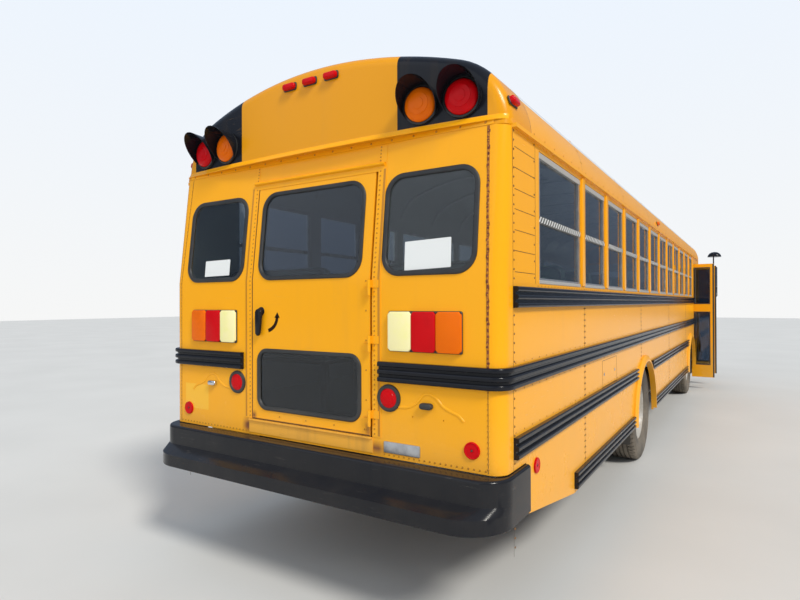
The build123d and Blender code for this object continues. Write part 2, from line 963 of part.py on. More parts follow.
def wrapped_rail(z, y1, side):
    """Rail from the front end y1 along the side, round the rear corner and over the rear face."""
    with BuildPart() as rail:
        with BuildLine() as path:
            FilletPolyline(
                (half, y1, z),
                (half, rear_face, z),
                (seat_rail_end_x, rear_face, z),
                radius=rear_corner_radius,
            )
        sweep(rail_section(Plane(origin=(half, y1, z), x_dir=(1, 0, 0), z_dir=(0, -1, 0))), path=path.wire())
    return rail.part if side > 0 else rail.part.mirror(Plane.YZ)


seat_rail_z = 1245
seat_rail_end_x = 523
window_rail_z = 1634
floor_rail_z = 897
skirt_rail_z = 455


arch_clear = arch_radius + arch_lip_width
floor_rail_reach = (arch_clear**2 - (floor_rail_z - arch_centre_z) ** 2) ** 0.5 + 4
with BuildPart() as rub_rails:
    for side, end in ((1, doorway_start - 40), (-1, doorway_end)):
        add(wrapped_rail(seat_rail_z, station(end), side))
        add(straight_rail(window_rail_z, station(corner_return + 2), station(end), side))
        floor_runs = (
            (corner_return + 2, rear_axle_station - floor_rail_reach),
            (rear_axle_station + floor_rail_reach, front_axle_station - floor_rail_reach),
        )
        for start, stop in floor_runs:
            add(straight_rail(floor_rail_z, station(start), station(stop), side))
        skirt_runs = (
            (skirt_slope_end + 6, rear_axle_station - arch_clear - 6),
            (rear_axle_station + arch_clear + 6, front_axle_station - arch_clear - 6),
        )
        for start, stop in skirt_runs:
            add(straight_rail(skirt_rail_z, station(start), station(stop), side))
    add(
        box(
            (-half, stop_pivot_x - 14),
            (
                station(stop_pivot_station + stop_barrel_radius) + seat_gap,
                station(stop_pivot_station + stop_barrel_radius + 60),
            ),
            (stop_blade_z - stop_barrel_height / 2, stop_blade_z + stop_barrel_height / 2),
        )
    )
save(rub_rails.part, "rub_rails")

# Drip rails over the windows, and the lips over the rear and front walls
drip_proud = 22
drip_height = 20
with BuildPart() as drip_rails:
    for side in (-1, 1):
        add(
            box(
                (side * half, side * (half + drip_proud)),
                (station(corner_return), station(doorway_end)),
                (gutter_height - 15, gutter_height - 15 + drip_height),
            )
        )
save(drip_rails.part, "drip_rails")

# Chassis: channel rails with crossmembers
frame_half = 430
frame_height = 240
frame_flange = 76
frame_plate = 10
frame_top = floor_top - floor_thickness
frame_start = wall + 6
frame_end = body_length - wall - 6
bracket_low = 690
bracket_high = 826
crossmember_stations = (500, 1700, 2900, 5300, 6500, 7700)


tow_eye_station = 130
tow_eye_z = 610
tow_eye_radius = 20


def frame_rail(side):
    """Channel rail, open towards the middle."""
    with BuildPart() as rail:
        with BuildSketch(across(station(frame_start))):
            with Locations((side * (frame_half - frame_flange / 2), frame_top - frame_height / 2)):
                Rectangle(frame_flange, frame_height)
            flange_x = side * (frame_half - frame_flange / 2 - frame_plate)
            with Locations((flange_x, frame_top - frame_height / 2)):
                Rectangle(frame_flange, frame_height - 2 * frame_plate, mode=Mode.SUBTRACT)
        extrude(amount=-(frame_end - frame_start))
    return rail.part


with BuildPart() as chassis_frame:
    for side in (-1, 1):
        add(frame_rail(side))
    for s in crossmember_stations:
        add(
            box(
                (-(frame_half - frame_plate), frame_half - frame_plate),
                (station(s), station(s + 60)),
                (frame_top - frame_height + frame_plate, frame_top - frame_plate - 60),
            )
        )
    for s in (frame_start, frame_end - 12):
        add(
            box(
                (-frame_half, frame_half),
                (station(s), station(s + 12)),
                (frame_top - frame_height, frame_top - 70),
            )
        )
    bumper_inside = bumper_face_reach - bumper_plate
    for side in (-1, 1):
        bracket_x = (side * (frame_half - frame_plate - 6), side * (frame_half - frame_flange))
        add(box(bracket_x, (rear_face - bumper_inside, station(frame_start)), (bracket_low, bracket_high)))
        add(box(bracket_x, (station(frame_end), front_face + bumper_inside), (bracket_low, bracket_high)))
        add(
            box(
                (side * (frame_half - frame_plate), side * frame_half),
                (station(tow_eye_station - 45), station(tow_eye_station + 45)),
                (tow_eye_z - 45, frame_top - frame_height),
            )
        )
    with BuildSketch(along(-frame_half - 1)):
        with Locations((station(tow_eye_station), tow_eye_z)):
            Circle(tow_eye_radius)
    extrude(amount=2 * frame_half + 2, mode=Mode.SUBTRACT)
save(chassis_frame.part, "chassis_frame")

# Leaf springs: stacked leaves under the rails, with end eyes and hangers
spring_width = 76
leaf_thickness = 14
leaf_count = 5
spring_half_lengths = {rear_axle_station: 700, front_axle_station: 620}
spring_x = frame_half - frame_flange / 2
frame_bottom = frame_top - frame_height
spring_seat_z = hub_z + 75


def leaf_spring(side, axle):
    """One pack of leaves with a hanger at each end."""
    length = spring_half_lengths[axle]
    with BuildPart() as pack:
        for k in range(leaf_count):
            reach = length * (1 - 0.16 * k)
            z = spring_seat_z + (leaf_count - k) * leaf_thickness
            add(
                box(
                    (side * (spring_x - spring_width / 2), side * (spring_x + spring_width / 2)),
                    (station(axle - reach), station(axle + reach)),
                    (z - leaf_thickness, z),
                )
            )
        for end in (-1, 1):
            add(
                box(
                    (side * (spring_x - spring_width / 2), side * (spring_x + spring_width / 2)),
                    (station(axle + end * length), station(axle + end * (length - 50))),
                    (spring_seat_z + leaf_count * leaf_thickness, frame_bottom),
                )
            )
    return pack.part


with BuildPart() as leaf_springs:
    for side in (-1, 1):
        for axle in axle_stations:
            add(leaf_spring(side, axle))
save(leaf_springs.part, "leaf_springs")

# Rear axle: tube, banjo housing and hub ends
rear_hub_face = rear_outer_half - dual_spacing / 2
rear_tube_radius = 62
banjo_radius = 205
with BuildPart() as rear_axle:
    with BuildSketch(along(-rear_hub_face + 170)):
        with Locations((station(rear_axle_station), hub_z)):
            Circle(rear_tube_radius)
    extrude(amount=2 * (rear_hub_face - 170))
    with BuildSketch(across(station(rear_axle_station - 120))):
        with Locations((0, hub_z)):
            Circle(banjo_radius)
    extrude(amount=-240)
    with BuildSketch(across(station(rear_axle_station + 120))):
        with Locations((0, hub_z)):
            Circle(110)
    extrude(amount=-150)
    for side in (-1, 1):
        add(
            box(
                (side * (spring_x - spring_width / 2), side * (spring_x + spring_width / 2)),
                (station(rear_axle_station - 90), station(rear_axle_station + 90)),
                (hub_z, spring_seat_z),
            )
        )

# Front axle: dropped I-beam with spring pads and an upright boss at each kingpin
beam_drop_z = 400
beam_height = 90
beam_width = 100
kingpin_radius = 22
boss_radius = 42
boss_half_height = 55
with BuildPart() as front_axle:
    beam_area = outline(
        across(station(front_axle_station) - beam_width / 2),
        (-kingpin_half, hub_z + 40),
        (-kingpin_half, hub_z - 40),
        (-kingpin_half + 160, hub_z - 60),
        (-kingpin_half + 290, beam_drop_z - beam_height / 2),
        (kingpin_half - 290, beam_drop_z - beam_height / 2),
        (kingpin_half - 160, hub_z - 60),
        (kingpin_half, hub_z - 40),
        (kingpin_half, hub_z + 40),
        (kingpin_half - 120, hub_z + 40),
        (kingpin_half - 270, beam_drop_z + beam_height / 2),
        (-kingpin_half + 270, beam_drop_z + beam_height / 2),
        (-kingpin_half + 120, hub_z + 40),
    )
    extrude(beam_area, amount=-beam_width)
    for side in (-1, 1):
        with BuildSketch(level(hub_z - boss_half_height)):
            with Locations((side * kingpin_half, station(front_axle_station))):
                Circle(boss_radius + 10)
        extrude(amount=2 * boss_half_height)
    for side in (-1, 1):
        add(
            box(
                (side * (spring_x - spring_width / 2), side * (spring_x + spring_width / 2)),
                (station(front_axle_station - 70), station(front_axle_station + 70)),
                (beam_drop_z, spring_seat_z),
            )
        )
    with BuildSketch(level(0)):
        with Locations(*[(side * kingpin_half, station(front_axle_station)) for side in (-1, 1)]):
            Circle(kingpin_radius + seat_gap)
    extrude(amount=1200, mode=Mode.SUBTRACT)
save(front_axle.part, "front_axle")

# Steering knuckles: fork and kingpin round the axle boss, with a spindle for the hub
fork_gap = 6
fork_plate = 32
spindle_radius = 36
spindle_reach = 250
knuckle_back = 62


def knuckle(side):
    """One steering knuckle about its kingpin."""
    with BuildPart() as piece:
        with BuildSketch(level(hub_z - boss_half_height - fork_gap - fork_plate)):
            with Locations((side * kingpin_half, station(front_axle_station))):
                Circle(boss_radius)
            with Locations((side * (kingpin_half + 45), station(front_axle_station))):
                Rectangle(90, 2 * boss_radius)
        extrude(amount=fork_plate)
        with BuildSketch(level(hub_z + boss_half_height + fork_gap)):
            with Locations((side * kingpin_half, station(front_axle_station))):
                Circle(boss_radius)
            with Locations((side * (kingpin_half + 45), station(front_axle_station))):
                Rectangle(90, 2 * boss_radius)
        extrude(amount=fork_plate)
        add(
            box(
                (side * (kingpin_half + knuckle_back), side * (kingpin_half + 90)),
                (station(front_axle_station) - boss_radius, station(front_axle_station) + boss_radius),
                (
                    hub_z - boss_half_height - fork_gap - fork_plate,
                    hub_z + boss_half_height + fork_gap + fork_plate,
                ),
            )
        )
        with BuildSketch(level(hub_z - boss_half_height - fork_gap - fork_plate)):
            with Locations((side * kingpin_half, station(front_axle_station))):
                Circle(kingpin_radius)
        extrude(amount=2 * (boss_half_height + fork_gap + fork_plate))
        with BuildSketch(along(side * (kingpin_half + 90))):
            with Locations((station(front_axle_station), hub_z)):
                Circle(spindle_radius)
        extrude(amount=side * (spindle_reach - 90))
    return piece.part


save(knuckle(-1), "knuckle_left")
save(knuckle(1), "knuckle_right")

# Wheels: disc rims with hand holes, and tyres with a rounded shoulder and three grooves
rim_width = 210
rim_plate = 10
hub_radius = 110
hand_hole_radius = 28
hand_hole_circle = 205
hand_hole_count = 10
disc_setback = 62
rim_flange = 12
bead_half = 98
tyre_section = (
    (rim_radius, bead_half - seat_gap),
    (rim_radius + rim_flange + 2, bead_half - seat_gap),
    (rim_radius + 44, 128),
    (tyre_radius - 90, tyre_width / 2),
    (tyre_radius - 22, tyre_width / 2 - 12),
    (tyre_radius, tyre_width / 2 - 34),
)
groove_width = 12
groove_depth = 14


def tyre(centre_x, axle):
    """Tyre turned about the wheel axis, centred on centre_x."""
    with BuildPart() as rubber:
        with BuildSketch(level(0)):
            with BuildLine():
                Polyline(
                    *[(w, r) for r, w in tyre_section],
                    *[(-w, r) for r, w in reversed(tyre_section)],
                    close=True,
                )
            make_face()
            with Locations(*[(x, tyre_radius) for x in (-60, 0, 60)]):
                Rectangle(groove_width, 2 * groove_depth, mode=Mode.SUBTRACT)
        revolve(axis=Axis.X)
    return Pos(centre_x, station(axle), hub_z) * rubber.part


def rim(centre_x, axle, disc_side, bore):
    """Rim barrel with a pierced disc towards disc_side and a hub bore."""
    with BuildPart() as wheel:
        with BuildSketch(level(0)):
            with BuildLine():
                Polyline(
                    (-rim_width / 2, rim_radius - 4),
                    (-rim_width / 2, rim_radius + rim_flange),
                    (-bead_half, rim_radius + rim_flange),
                    (-bead_half, rim_radius - seat_gap),
                    (bead_half, rim_radius - seat_gap),
                    (bead_half, rim_radius + rim_flange),
                    (rim_width / 2, rim_radius + rim_flange),
                    (rim_width / 2, rim_radius - 4),
                    (60, rim_radius - 26),
                    (-60, rim_radius - 26),
                    close=True,
                )
            make_face()
        revolve(axis=Axis.X)
        disc_x = disc_side * disc_setback
        with BuildSketch(level(0)):
            with BuildLine():
                Polyline(
                    (disc_x, bore),
                    (disc_x, 150),
                    (disc_x - disc_side * 34, 240),
                    (disc_x - disc_side * 34, rim_radius - 20),
                    (disc_x - disc_side * (34 + rim_plate), rim_radius - 20),
                    (disc_x - disc_side * (34 + rim_plate), 240),
                    (disc_x - disc_side * rim_plate, 150),
                    (disc_x - disc_side * rim_plate, bore),
                    close=True,
                )
            make_face()
        revolve(axis=Axis.X)
        with BuildSketch(along(-rim_width)):
            with PolarLocations(hand_hole_circle, hand_hole_count):
                Circle(hand_hole_radius)
        extrude(amount=2 * rim_width, mode=Mode.SUBTRACT)
    return Pos(centre_x, station(axle), hub_z) * wheel.part


def hub(x0, x1, radius, axle):
    """Turned hub between two X values."""
    with BuildPart() as piece:
        with BuildSketch(along(min(x0, x1))):
            with Locations((station(axle), hub_z)):
                Circle(radius)
        extrude(amount=abs(x1 - x0))
    return piece.part


front_wheel_sides = {"left": -1, "right": 1}
front_bore = spindle_radius + seat_gap
for name, side in front_wheel_sides.items():
    centre = side * front_track_half
    save(tyre(centre, front_axle_station), "tyre_front_" + name)
    with BuildPart() as front_rim:
        add(rim(centre, front_axle_station, side, hub_radius))
        add(
            hub(
                side * (kingpin_half + 96),
                side * (front_track_half + disc_setback + 62),
                hub_radius,
                front_axle_station,
            )
        )
        add(
            hub(
                side * (kingpin_half + 95),
                side * (kingpin_half + spindle_reach + seat_gap),
                front_bore,
                front_axle_station,
            ),
            mode=Mode.SUBTRACT,
        )
    save(front_rim.part, "rim_front_" + name)
    outer = side * rear_outer_half
    inner = side * (rear_outer_half - dual_spacing)
    with BuildPart() as rear_tyres:
        add(tyre(outer, rear_axle_station))
        add(tyre(inner, rear_axle_station))
    save(rear_tyres.part, "tyres_rear_" + name)
    with BuildPart() as rear_rims:
        add(rim(outer, rear_axle_station, -side, hub_radius))
        add(rim(inner, rear_axle_station, side, hub_radius))
        add(
            hub(
                side * (rear_hub_face - 170 + seat_gap),
                side * (rear_outer_half - disc_setback + 100),
                hub_radius,
                rear_axle_station,
            )
        )
    save(rear_rims.part, "rims_rear_" + name)
save(rear_axle.part, "rear_axle")

# Entrance door: two leaves on pivots at the jambs, standing open across the bus side
leaf_thickness_y = 40
leaf_meeting_gap = 10
leaf_bottom = 225
leaf_top = doorway_head - leaf_head_gap
leaf_width = (doorway_end - doorway_start - 2 * leaf_jamb_gap - leaf_meeting_gap) / 2
leaf_start_x = leaf_pivot_x - (leaf_pivot_inset - leaf_jamb_gap)
leaf_rubber = 34
leaf_stile = 42
leaf_windows = ((1633, 2311), (472, 1465))
leaf_glass_x = (leaf_start_x + leaf_stile, leaf_start_x + leaf_width - leaf_rubber - leaf_stile)
for name, pivot_y in leaf_pivots.items():
    with BuildPart() as leaf:
        with BuildSketch(across(pivot_y - leaf_thickness_y / 2)):
            with Locations((leaf_start_x + leaf_width / 2, (leaf_bottom + leaf_top) / 2)):
                Rectangle(leaf_width, leaf_top - leaf_bottom)
            for low, high in leaf_windows:
                with Locations((sum(leaf_glass_x) / 2, (low + high) / 2)):
                    RectangleRounded(leaf_glass_x[1] - leaf_glass_x[0], high - low, 30, mode=Mode.SUBTRACT)
        extrude(amount=-leaf_thickness_y)
        uprights = leaf.edges().filter_by(Axis.Z)
        leaf_ends = [e for e in uprights if e.length > 2000 and e.center().X > half + 100]
        fillet(leaf_ends, leaf_thickness_y / 2 - 2)
    save(leaf.part, "entrance_leaf_" + name)
    with BuildPart() as leaf_glass:
        with BuildSketch(across(pivot_y - glass_thickness / 2)):
            for low, high in leaf_windows:
                with Locations((sum(leaf_glass_x) / 2, (low + high) / 2)):
                    RectangleRounded(leaf_glass_x[1] - leaf_glass_x[0], high - low, 30)
        extrude(amount=-glass_thickness)
    save(leaf_glass.part, "entrance_glass_" + name)

# Lids of the roof hatches
lid_overhang = 14
lid_height = 38
hatch_names = ("rear", "front")
for name, s in zip(hatch_names, hatch_stations):
    with BuildPart() as lid:
        with BuildSketch(level(curb_top + seat_gap)):
            with Locations((0, station(s))):
                RectangleRounded(
                    hatch_width + 2 * (curb_width + lid_overhang),
                    hatch_length + 2 * (curb_width + lid_overhang),
                    hatch_corner + curb_width + lid_overhang,
                )
        extrude(amount=lid_height)
        fillet(lid.faces().sort_by(Axis.Z)[-1].edges(), 18)
    save(lid.part, "hatch_lid_" + name)

# Stop arm folded against the left side, on a bracket
stop_blade_width = 450
stop_blade_thickness = 6
with BuildPart() as stop_arm:
    with BuildSketch(along(stop_pivot_x - stop_blade_thickness / 2)):
        with Locations((station(stop_pivot_station - stop_blade_width / 2 - 6), stop_blade_z)):
            RegularPolygon(stop_blade_width / 2, 8, major_radius=False, rotation=22.5)
    extrude(amount=stop_blade_thickness)
    with BuildSketch(level(stop_blade_z - stop_barrel_height / 2)):
        with Locations((stop_pivot_x, station(stop_pivot_station))):
            Circle(stop_barrel_radius)
    extrude(amount=stop_barrel_height)
save(stop_arm.part, "stop_arm")

# Passenger seats: cushions, backs and frames
seat_rows = 12
seat_pitch = 711
first_seat = 420
seat_inner = 215
seat_outer = 1165
seat_back_thickness = 105
seat_depth = 400
cushion_low = 1270
cushion_high = 1380
seat_back_top = 1905
seat_corner = 60
leg_width = 40
row_middle = station(first_seat + (seat_rows - 1) * seat_pitch / 2)
bench_profile = (
    # offset from the row line, length, bottom, top
    (0, seat_back_thickness, cushion_low, seat_back_top),
    (seat_back_thickness + 2, seat_depth - 2, cushion_low, cushion_high),
)
with BuildPart() as seats:
    for side in (-1, 1):
        with BuildSketch(along(side * seat_inner)):
            for offset, length, low, high in bench_profile:
                with Locations((row_middle + offset + length / 2, (low + high) / 2)):
                    with GridLocations(seat_pitch, 0, seat_rows, 1):
                        Rectangle(length, high - low)
        extrude(amount=side * (seat_outer - seat_inner))
    fillet(seats.edges().filter_by(Axis.Y).group_by(Axis.Z)[-1], seat_corner)
save(seats.part, "seats")

# Driver's place: seat on a pedestal, dashboard, column and steering wheel
driver_x = -800
driver_seat_station = 9900
with BuildPart() as driver_seat:
    add(
        box(
            (driver_x - 240, driver_x + 240),
            (station(driver_seat_station + 92), station(driver_seat_station + 560)),
            (1330, 1450),
        )
    )
    add(
        box(
            (driver_x - 240, driver_x + 240),
            (station(driver_seat_station - 20), station(driver_seat_station + 90)),
            (1330, 2080),
        )
    )
save(driver_seat.part, "driver_seat")
seat_pan = 25
pan_inset = 10
pan_start = 20
pan_length = seat_depth + 60
leg_offsets = (60, seat_depth + 20)
with BuildPart() as seat_frames:
    with BuildSketch(level(cushion_low - seat_pan)):
        pan_x = (seat_inner + pan_inset, floor_half - seat_gap)
        for side in (-1, 1):
            with Locations((side * sum(pan_x) / 2, row_middle + pan_start + pan_length / 2)):
                with GridLocations(0, seat_pitch, 1, seat_rows):
                    Rectangle(pan_x[1] - pan_x[0], pan_length)
    extrude(amount=seat_pan - seat_gap)
    with BuildSketch(level(floor_top)):
        for side in (-1, 1):
            for offset in leg_offsets:
                leg_x = side * (seat_inner + 40 + leg_width / 2)
                with Locations((leg_x, row_middle + offset + leg_width / 2)):
                    with GridLocations(0, seat_pitch, 1, seat_rows):
                        Rectangle(leg_width, leg_width)
    extrude(amount=cushion_low - seat_pan - floor_top)
    add(
        box(
            (driver_x - 190, driver_x + 190),
            (station(driver_seat_station + 80), station(driver_seat_station + 500)),
            (1290, 1330 - seat_gap),
        )
    )
    add(
        box(
            (driver_x - 110, driver_x + 110),
            (station(driver_seat_station + 170), station(driver_seat_station + 410)),
            (floor_top, 1290),
        )
    )
save(seat_frames.part, "seat_frames")

wheel_centre = (driver_x, station(10560), 1640)
wheel_rim_radius = 235
wheel_tube = 16
column_tilt = 32
dash_x = (-1105, -455)
dash_end = body_length - wall - 4
wheel_plane = Plane(
    origin=wheel_centre, x_dir=(1, 0, 0), z_dir=(0, -sin(radians(column_tilt)), cos(radians(column_tilt)))
)
with BuildPart() as dashboard:
    add(box(dash_x, (station(10760), station(dash_end)), (floor_top, 1300)))
    add(box(dash_x, (station(10660), station(dash_end)), (1200, 1320)))
    with BuildSketch(wheel_plane.offset(-10)):
        Circle(40)
    extrude(amount=-480)
    with BuildSketch(wheel_plane.offset(-14)):
        Circle(60)
        Rectangle(2 * wheel_rim_radius, 34)
        with Locations((0, -wheel_rim_radius / 2)):
            Rectangle(34, wheel_rim_radius)
        Circle(wheel_rim_radius, mode=Mode.INTERSECT)
    extrude(amount=18)
    with BuildSketch(Plane(origin=wheel_centre, x_dir=(1, 0, 0), z_dir=wheel_plane.y_dir)):
        with Locations((wheel_rim_radius, 5)):
            Circle(wheel_tube)
    revolve(axis=Axis(wheel_centre, wheel_plane.z_dir))
save(dashboard.part, "dashboard")

# Engine, gearbox and radiator, and the cover over the engine inside
engine_half = 330
engine_start = 9720
engine_end = 10700
with BuildPart() as engine:
    add(box((-engine_half, engine_half), (station(engine_start), station(engine_end)), (575, 1230)))
    add(box((-200, 200), (station(9100), station(engine_start)), (520, 880)))
    for side in (-1, 1):
        add(
            box(
                (side * engine_half, side * (frame_half - frame_flange)),
                (station(engine_start + 150), station(engine_start + 250)),
                (frame_top - frame_plate, frame_top),
            )
        )
    add(box((-340, 340), (station(engine_end), station(engine_end + 90)), (660, 1200)))
save(engine.part, "engine")
cover_half = 450
cover_top = 1300
cover_plate = 25
with BuildPart() as engine_cover:
    add(box((-cover_half, cover_half), (station(9640), station(dash_end)), (floor_top, cover_top)))
    fillet(engine_cover.edges().filter_by(Axis.Y).group_by(Axis.Z)[-1], 70)
    add(
        box(
            (-cover_half + cover_plate, cover_half - cover_plate),
            (station(9640 + cover_plate), station(dash_end + 1)),
            (floor_top - 1, cover_top - cover_plate),
        ),
        mode=Mode.SUBTRACT,
    )
save(engine_cover.part, "engine_cover")

# Drive shaft from the gearbox to the rear axle
shaft_radius = 45
shaft_front_station = 9100
shaft_front_z = 590
shaft_rear_station = rear_axle_station + 270
with BuildPart() as drive_shaft:
    with BuildSketch(across(station(shaft_rear_station))):
        with Locations((0, hub_z)):
            Circle(shaft_radius)
    extrude(
        amount=((shaft_front_station - shaft_rear_station) ** 2 + (shaft_front_z - hub_z) ** 2) ** 0.5,
        dir=(0, shaft_front_station - shaft_rear_station, shaft_front_z - hub_z),
    )
save(drive_shaft.part, "drive_shaft")

# Exhaust: pipe, silencer and an outlet bend towards the left
exhaust_x = -262
exhaust_z = 600
exhaust_radius = 38
with BuildPart() as exhaust:
    with BuildLine() as exhaust_path:
        FilletPolyline(
            (exhaust_x, station(engine_start), exhaust_z),
            (exhaust_x, station(4950), exhaust_z),
            (-1120, station(4950), exhaust_z),
            radius=160,
        )
    with BuildSketch(across(station(engine_start))):
        with Locations((exhaust_x, exhaust_z)):
            Circle(exhaust_radius)
    sweep()
    with BuildSketch(across(station(6000))):
        with Locations((exhaust_x, exhaust_z - 40)):
            Circle(100)
    extrude(amount=-1150)
save(exhaust.part, "exhaust")

# Fuel tank beside the right frame rail
tank_x = (frame_half + 50, 1060)
tank_stations = (5150, 6450)
with BuildPart() as fuel_tank:
    add(box(tank_x, (station(tank_stations[0]), station(tank_stations[1])), (470, 820)))
    fillet(fuel_tank.edges().filter_by(Axis.Y), 60)
    for s in (tank_stations[0] + 200, tank_stations[1] - 260):
        add(box((frame_half, tank_x[0] + 70), (station(s), station(s + 60)), (600, 800)))
save(fuel_tank.part, "fuel_tank")

# Mud flaps behind the wheels
with BuildPart() as mud_flaps:
    for side in (-1, 1):
        add(
            box(
                (side * 600, side * (half - skirt_thickness - 12)),
                (station(rear_axle_station - 640), station(rear_axle_station - 632)),
                (280, frame_top),
            )
        )
save(mud_flaps.part, "mud_flaps")

# Mirrors on arms at the front corners, with a domed mirror above on each side
mirror_tube = 12
arm_bend = 30
mirror_head_x = (1413, 1548)
mirror_head_z = (1768, 2405)
mirror_head_y = (front_face + 20, front_face + 85)
dome_radius = 130
dome_x = 1490
dome_z = 2683
dome_station = body_length + front_mirror_reach - dome_radius


def mirror_arm(points, radius):
    """Bent tube through the given points."""
    with BuildPart() as tube:
        with BuildLine() as path:
            FilletPolyline(*points, radius=arm_bend)
        start = Vector(points[0])
        towards = Vector(points[1]) - start
        with BuildSketch(Plane(origin=start, z_dir=towards)):
            Circle(radius)
        sweep(path=path.wire())
    return tube.part


mirror_pieces = []
for side in (-1, 1):
    arm_y = (mirror_head_y[0] + mirror_head_y[1]) / 2
    head_mid_x = sum(mirror_head_x) / 2
    anchor_y = front_face - front_corner_radius - 40
    upper = (
        (half, anchor_y, 2300),
        (half + 80, anchor_y, 2300),
        (head_mid_x, anchor_y, 2300 + 120),
        (head_mid_x, arm_y, mirror_head_z[1] + 60),
        (head_mid_x, arm_y, mirror_head_z[1] - 20),
    )
    lower = (
        (half, anchor_y, 1640),
        (head_mid_x, anchor_y, 1640),
        (head_mid_x, arm_y, 1640),
        (head_mid_x, arm_y, mirror_head_z[0] + 20),
    )
    with BuildPart() as mirror:
        add(box(mirror_head_x, mirror_head_y, mirror_head_z))
        fillet(mirror.edges().filter_by(Axis.Y), 28)
        add(mirror_arm(upper, mirror_tube))
        add(mirror_arm(lower, mirror_tube))
        add(
            mirror_arm(
                (
                    (head_mid_x, arm_y, mirror_head_z[1] - 20),
                    (head_mid_x, arm_y, dome_z),
                    (dome_x, station(dome_station), dome_z + 40),
                    (dome_x, station(dome_station), dome_z - 20),
                ),
                mirror_tube,
            )
        )
        dome_base = (dome_x, station(dome_station), dome_z - dome_radius / 2)
        with BuildSketch(Plane(origin=dome_base, x_dir=(1, 0, 0), z_dir=(0, -1, 0))):
            with BuildLine():
                Line((0, dome_radius * 0.8), (0, 0))
                Line((0, 0), (dome_radius, 0))
                ThreePointArc(
                    (dome_radius, 0),
                    (dome_radius * 0.72, dome_radius * 0.56),
                    (0, dome_radius * 0.8),
                )
            make_face()
        revolve(axis=Axis((dome_x, station(dome_station), 0), (0, 0, 1)))
    mirror_pieces.append(mirror.part if side > 0 else mirror.part.mirror(Plane.YZ))
with BuildPart() as mirrors:
    for piece in mirror_pieces:
        add(piece)
save(mirrors.part, "mirrors")

# Rear lamps
lamp_base = 10
lens_proud = 26
tail_inner = 583
tail_outer = 1012
tail_low = 1407
tail_high = 1618
lens_gap = 8


def tail_cluster(side):
    """Three lenses on one base."""
    width = tail_outer - tail_inner
    lens_width = (width - 4 * lens_gap) / 3
    with BuildPart() as cluster:
        with BuildSketch(across(rear_face)):
            with Locations((side * (tail_inner + tail_outer) / 2, (tail_low + tail_high) / 2)):
                RectangleRounded(width, tail_high - tail_low, 12)
        extrude(amount=lamp_base)
        with BuildSketch(across(rear_face - lamp_base)):
            with Locations((side * (tail_inner + tail_outer) / 2, (tail_low + tail_high) / 2)):
                with GridLocations(lens_width + lens_gap, 0, 3, 1):
                    RectangleRounded(lens_width, tail_high - tail_low - 2 * lens_gap, 14)
        extrude(amount=lens_proud - lamp_base, taper=12)
    return cluster.part


def round_lamp(plane, x, z, radii, heights):
    """Stepped round lamp or reflector: one disc on another."""
    with BuildPart() as lamp:
        base = 0
        for radius, height in zip(radii, heights):
            with BuildSketch(plane.offset(base)):
                with Locations((x, z)):
                    Circle(radius)
            extrude(amount=height)
            base += height
    return lamp.part


def block_lamp(plane, x, z, width, height, proud):
    """Small rounded block lamp."""
    with BuildPart() as lamp:
        with BuildSketch(plane):
            with Locations((x, z)):
                RectangleRounded(width, height, min(width, height) * 0.3)
        extrude(amount=proud, taper=14)
    return lamp.part


warning_radius = 90
hood_plate = 5
hood_reach = 105


def warning_lamp(plane, x, z):
    """Round flashing lamp with a hood over its upper side."""
    with BuildPart() as lamp:
        with BuildSketch(plane):
            with Locations((x, z)):
                Circle(warning_radius + 12)
        extrude(amount=12)
        with BuildSketch(plane.offset(12)):
            with Locations((x, z)):
                Circle(warning_radius)
        extrude(amount=16)
        with BuildSketch(plane.offset(12)):
            with Locations((x, z)):
                Circle(warning_radius + 12)
                Circle(warning_radius + 12 - hood_plate, mode=Mode.SUBTRACT)
            with Locations((x, z - warning_radius)):
                Rectangle(4 * warning_radius, 1.6 * warning_radius, mode=Mode.SUBTRACT)
        extrude(amount=hood_reach)
    return lamp.part


lean_z = {z: (z - lean_start) / cos(lean_angle) for z in (2675, 2968)}
with BuildPart() as rear_lamps:
    for side in (-1, 1):
        add(tail_cluster(side))
        add(round_lamp(rear_upright_plane, side * 580, 1159, (73, 56), (12, 12)))
        add(round_lamp(rear_upright_plane, side * 1059, 949, (42,), (10,)))
        add(block_lamp(rear_upright_plane, side * 810, 1138, 60, 34, 26))
        for x in (755, 990):
            add(warning_lamp(rear_lean_plane, side * x, lean_z[2675]))
        side_plane = Plane(origin=(side * half, 0, 0), x_dir=(0, side, 0), z_dir=(side, 0, 0))
        add(round_lamp(side_plane, side * station(457), 791, (45,), (10,)))
    for x in (-160, 0, 160):
        add(block_lamp(rear_lean_plane, x, lean_z[2968], 92, 36, 34))
save(rear_lamps.part, "rear_lamps")

# Front lamps
front_upright_plane = Plane(origin=(0, front_face, 0), x_dir=(-1, 0, 0), z_dir=(0, 1, 0))
front_lean = {z: (z - windshield_sill) / cos(front_angle) for z in (2675, 2900)}
with BuildPart() as front_lamps:
    for side in (-1, 1):
        lamp_radii = (headlamp_radius + 14, headlamp_radius - 7)
        add(round_lamp(front_upright_plane, side * headlamp_x, headlamp_z, lamp_radii, (10, 8)))
        add(block_lamp(front_upright_plane, side * headlamp_x, headlamp_z + 190, 190, 80, 26))
        for x in (755, 990):
            add(warning_lamp(front_lean_plane, side * x, front_lean[2675]))
    for x in (-160, 0, 160):
        add(block_lamp(front_lean_plane, x, front_lean[2900], 92, 36, 34))
save(front_lamps.part, "front_lamps")
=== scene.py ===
"""Looks of a flat-front school bus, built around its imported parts.

Metres. +X is the kerb side, +Y is forward, +Z is up and the ground is at Z = 0.
Stations along the bus are measured forward from the flat of the rear face.
"""

import json
import logging
import math
import random
from dataclasses import dataclass, field
from enum import Enum
from typing import Callable, Iterable, Optional, Sequence, Union

import bmesh
import bpy
from mathutils import Matrix, Vector

